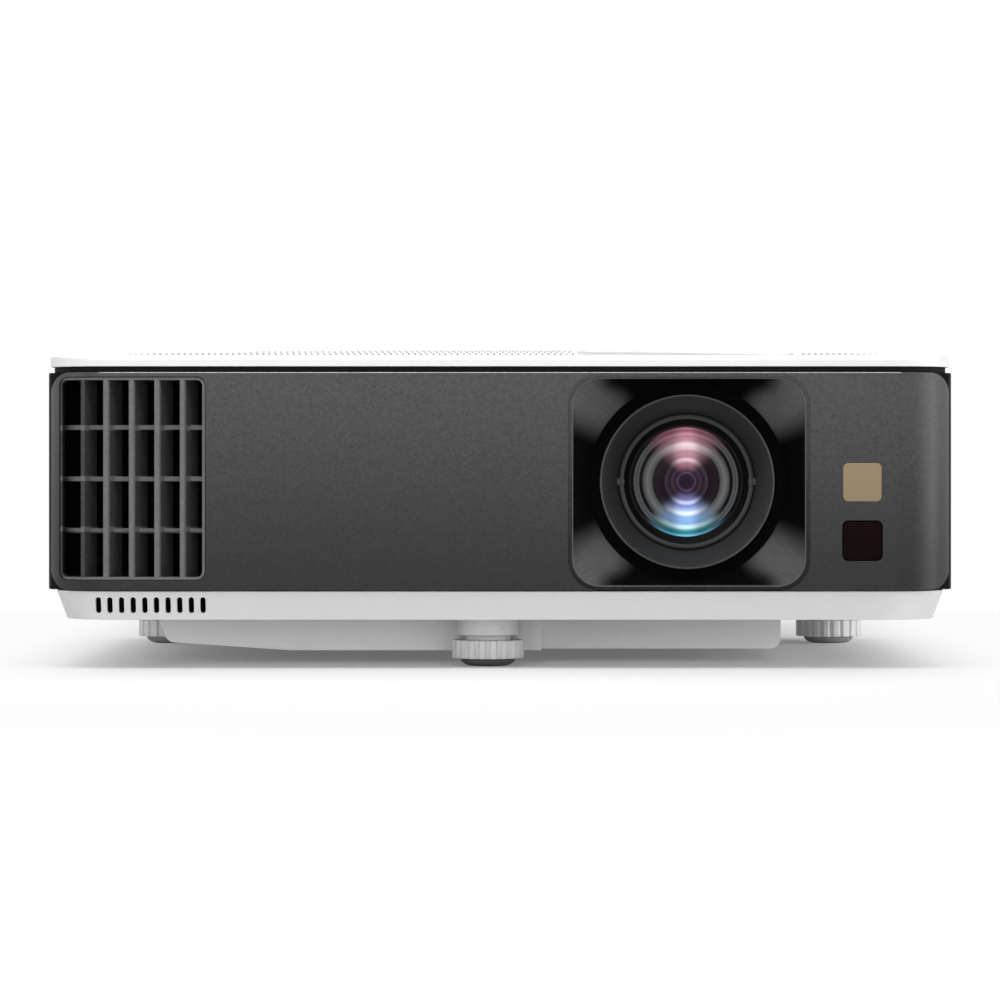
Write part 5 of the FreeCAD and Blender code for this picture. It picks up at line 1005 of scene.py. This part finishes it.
def makeDashes(look):
    low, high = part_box("top_cover")
    blocks = keepClear()
    width, depth = high[0] - low[0] - 2 * clearance["edge"], high[1] - low[1] - 2 * clearance["edge"]
    columns, rows = int(width / look["Pitch"]), int((depth - look["Length"]) / look["Row"])
    making = Making("dashes", {**look, "Blocks": blocks})
    pitch, row = making.given("Pitch"), making.given("Row")
    grid = making.node("GeometryNodeMeshGrid", None, {
        "Size X": pitch * (columns - 1), "Size Y": row * (rows - 1), "Vertices X": columns, "Vertices Y": rows})
    index = making.node("GeometryNodeInputIndex")
    odd = making.maths("MODULO", making.maths("MODULO", index, float(rows)), 2.0)
    middle = middleOf((low, high))
    shift = making.node("ShaderNodeCombineXYZ", None, {0: odd * pitch * 0.5 + middle[0], 1: middle[1], 2: 0.2})
    spots = making.node("GeometryNodeSetPosition", None, {"Geometry": grid, "Offset": shift})
    down = (0, 0, -1)
    cover = making.given("Geometry")
    place = making.node("GeometryNodeInputPosition")
    block = making.node("GeometryNodeObjectInfo", None, {"Object": making.given("Blocks")}, "Geometry")
    rays = [{"Target Geometry": target, "Source Position": place, "Ray Direction": down, "Ray Length": 1.0}
            for target in (cover, block)]
    onCover = [making.node("GeometryNodeRaycast", None, rays[0], output)
               for output in ("Is Hit", "Hit Position", "Hit Normal")]
    onBlock = making.node("GeometryNodeRaycast", None, rays[1], "Is Hit")
    level = making.node("ShaderNodeSeparateXYZ", None, {0: onCover[2]}, 2)
    steep = making.node("FunctionNodeCompare", {"operation": "LESS_THAN"}, {0: level, 1: clearance["steepest"]})
    missed = making.node("FunctionNodeBooleanMath", {"operation": "NOT"}, {0: onCover[0]})
    away = making.node("FunctionNodeBooleanMath", {"operation": "OR"}, {0: missed, 1: onBlock})
    away = making.node("FunctionNodeBooleanMath", {"operation": "OR"}, {0: away, 1: steep})
    ball = making.node("GeometryNodeMeshUVSphere", None, {"Segments": 6, "Rings": 4, "Radius": 0.5})
    size = making.node("ShaderNodeCombineXYZ", None, {
        0: making.given("Width"), 1: making.given("Length"), 2: making.given("Height") * 2})
    points = making.node("GeometryNodeDeleteGeometry", None, {"Geometry": spots, "Selection": away})
    landed = making.node("GeometryNodeSetPosition", None, {"Geometry": points, "Position": onCover[1]})
    ridges = making.node("GeometryNodeInstanceOnPoints", None, {"Points": landed, "Instance": ball, "Scale": size})
    target = bmesh.new()
    for node in ("top_cover", "lamp_cover"):
        target.from_mesh(frame["nodes"][node].data)
    # painted shade: the ridges take the greyer ridge plastic
    made = making.made(asMesh("coverTarget", target), ridges, "dashWhite")
    bpy.data.objects.remove(blocks)
    newPiece("coverRidges", made, "dashWhite", "root", smooth=60)
    print("cover ridges:", len(made.polygons), "faces")


makeDashes(dashes)


# The camera, level with the middle of the front, far away with a long lens.
view = {"distance": 1.45, "height": 75.3 * mm, "lens": 153.1, "shiftDown": 0.051}
camera = placed("camera", bpy.data.cameras.new("camera"))
camera.location = (0, lowest.y - view["distance"], view["height"])
camera.rotation_euler = (math.pi / 2, 0, 0)
camera.data.lens = view["lens"]
camera.data.sensor_width = 36
camera.data.shift_y = -view["shiftDown"]
camera.data.clip_start = 0.05
bpy.context.scene.camera = camera
bpy.context.scene.view_settings.view_transform = "Standard"

# Soft boxes: where each stands, what it looks at, its size and its power.
lamps = {
    "topBox": {"at": (0, 0.1, 1.2), "to": (0, 0, 0.05), "size": (1.5, 1.0), "power": 7.6},
    "frontStrip": {"at": (-0.06, -0.30, 0.40), "to": (-0.04, -0.12, 0.09), "size": (0.5, 0.06), "power": 1.1},
    "frontBox": {"at": (-0.2, -2.0, 0.4), "to": (0, 0, 0.04), "size": (2.0, 0.6), "power": 9},
    "rightBox": {"at": (0.8, -0.22, 0.12), "to": (0.15, -0.12, 0.06), "size": (0.16, 0.4), "power": 3.2},
    "leftBox": {"at": (-0.9, -0.4, 0.25), "to": (-0.15, -0.12, 0.06), "size": (0.2, 0.5), "power": 1.0},
}


def softBox(name, look):
    lamp = bpy.data.lights.new(name, "AREA")
    lamp.shape = "RECTANGLE"
    lamp.size, lamp.size_y = look["size"]
    lamp.energy = look["power"]
    made = placed(name, lamp)
    made.location = look["at"]
    made.rotation_euler = (Vector(look["to"]) - Vector(look["at"])).to_track_quat("-Z", "Y").to_euler()


for name, look in lamps.items():
    softBox(name, look)


def seenRay(shading):
    # 1 where the camera, a reflection or clear glass looks, 0 for the light that falls on things
    kinds = ("Is Camera Ray", "Is Glossy Ray", "Is Transmission Ray")
    camera, gloss, through = (shading.node("ShaderNodeLightPath", output=kind) for kind in kinds)
    return camera.largest(gloss).largest(through)


def fillWorld(ambient):
    world = bpy.data.worlds.new("studio")
    world.use_nodes = True
    bpy.context.scene.world = world
    shading = Shading(world.node_tree)
    strength = ambient + seenRay(shading) * (1 - ambient)
    sky = shading.node("ShaderNodeBackground", None, {"Color": (1, 1, 1, 1), "Strength": strength})
    shading.node("ShaderNodeOutputWorld", None, {"Surface": sky})


studio = {"ambient": 0.4, "reach": 30, "colour": (0.74, 0.74, 0.74), "lift": 0.13, "fade": (0.20, 0.5),
          "side": (0.115, 0.185), "sideShare": 0.9}


def makeFloor(look):
    # a white floor that keeps the shadow, lightened by a painted glow that the camera sees; away from the object and
    # beside it, it turns to the plain white of the background
    finishes["floorWhite"], shading = newFinish("floorWhite")
    paper = shading.noise(3 * mm, 2)
    matt = shading.node("ShaderNodeBsdfDiffuse", None, {"Color": shading.tint(look["colour"], 0.99 + paper * 0.02)})
    glow = shading.node("ShaderNodeEmission", None, {"Color": (1, 1, 1, 1), "Strength": 1.0})
    across, deep, _ = shading.axes()
    aside = abs(across).within(*look["side"]) * look["sideShare"]
    # painted light: the lift lightens the shadow near the object, and beside it the floor is made plain white
    plain = shading.radius(across, deep).within(*look["fade"]).largest(aside) * (1 - look["lift"]) + look["lift"]
    both = shading.node("ShaderNodeMixShader", None, {0: seenRay(shading) * plain, 1: matt, 2: glow})
    shading.finish(both)
    corners = [(x * look["reach"], y * look["reach"], 0) for x, y in ((-1, -1), (1, -1), (1, 1), (-1, 1))]
    floor = placed("floor", meshFrom("floor", corners, [(0, 1, 2, 3)], outward=False))
    floor.data.materials.append(finishes["floorWhite"])


fillWorld(studio["ambient"])
makeFloor(studio)
print("studio: camera, floor and", len(lamps), "soft boxes")
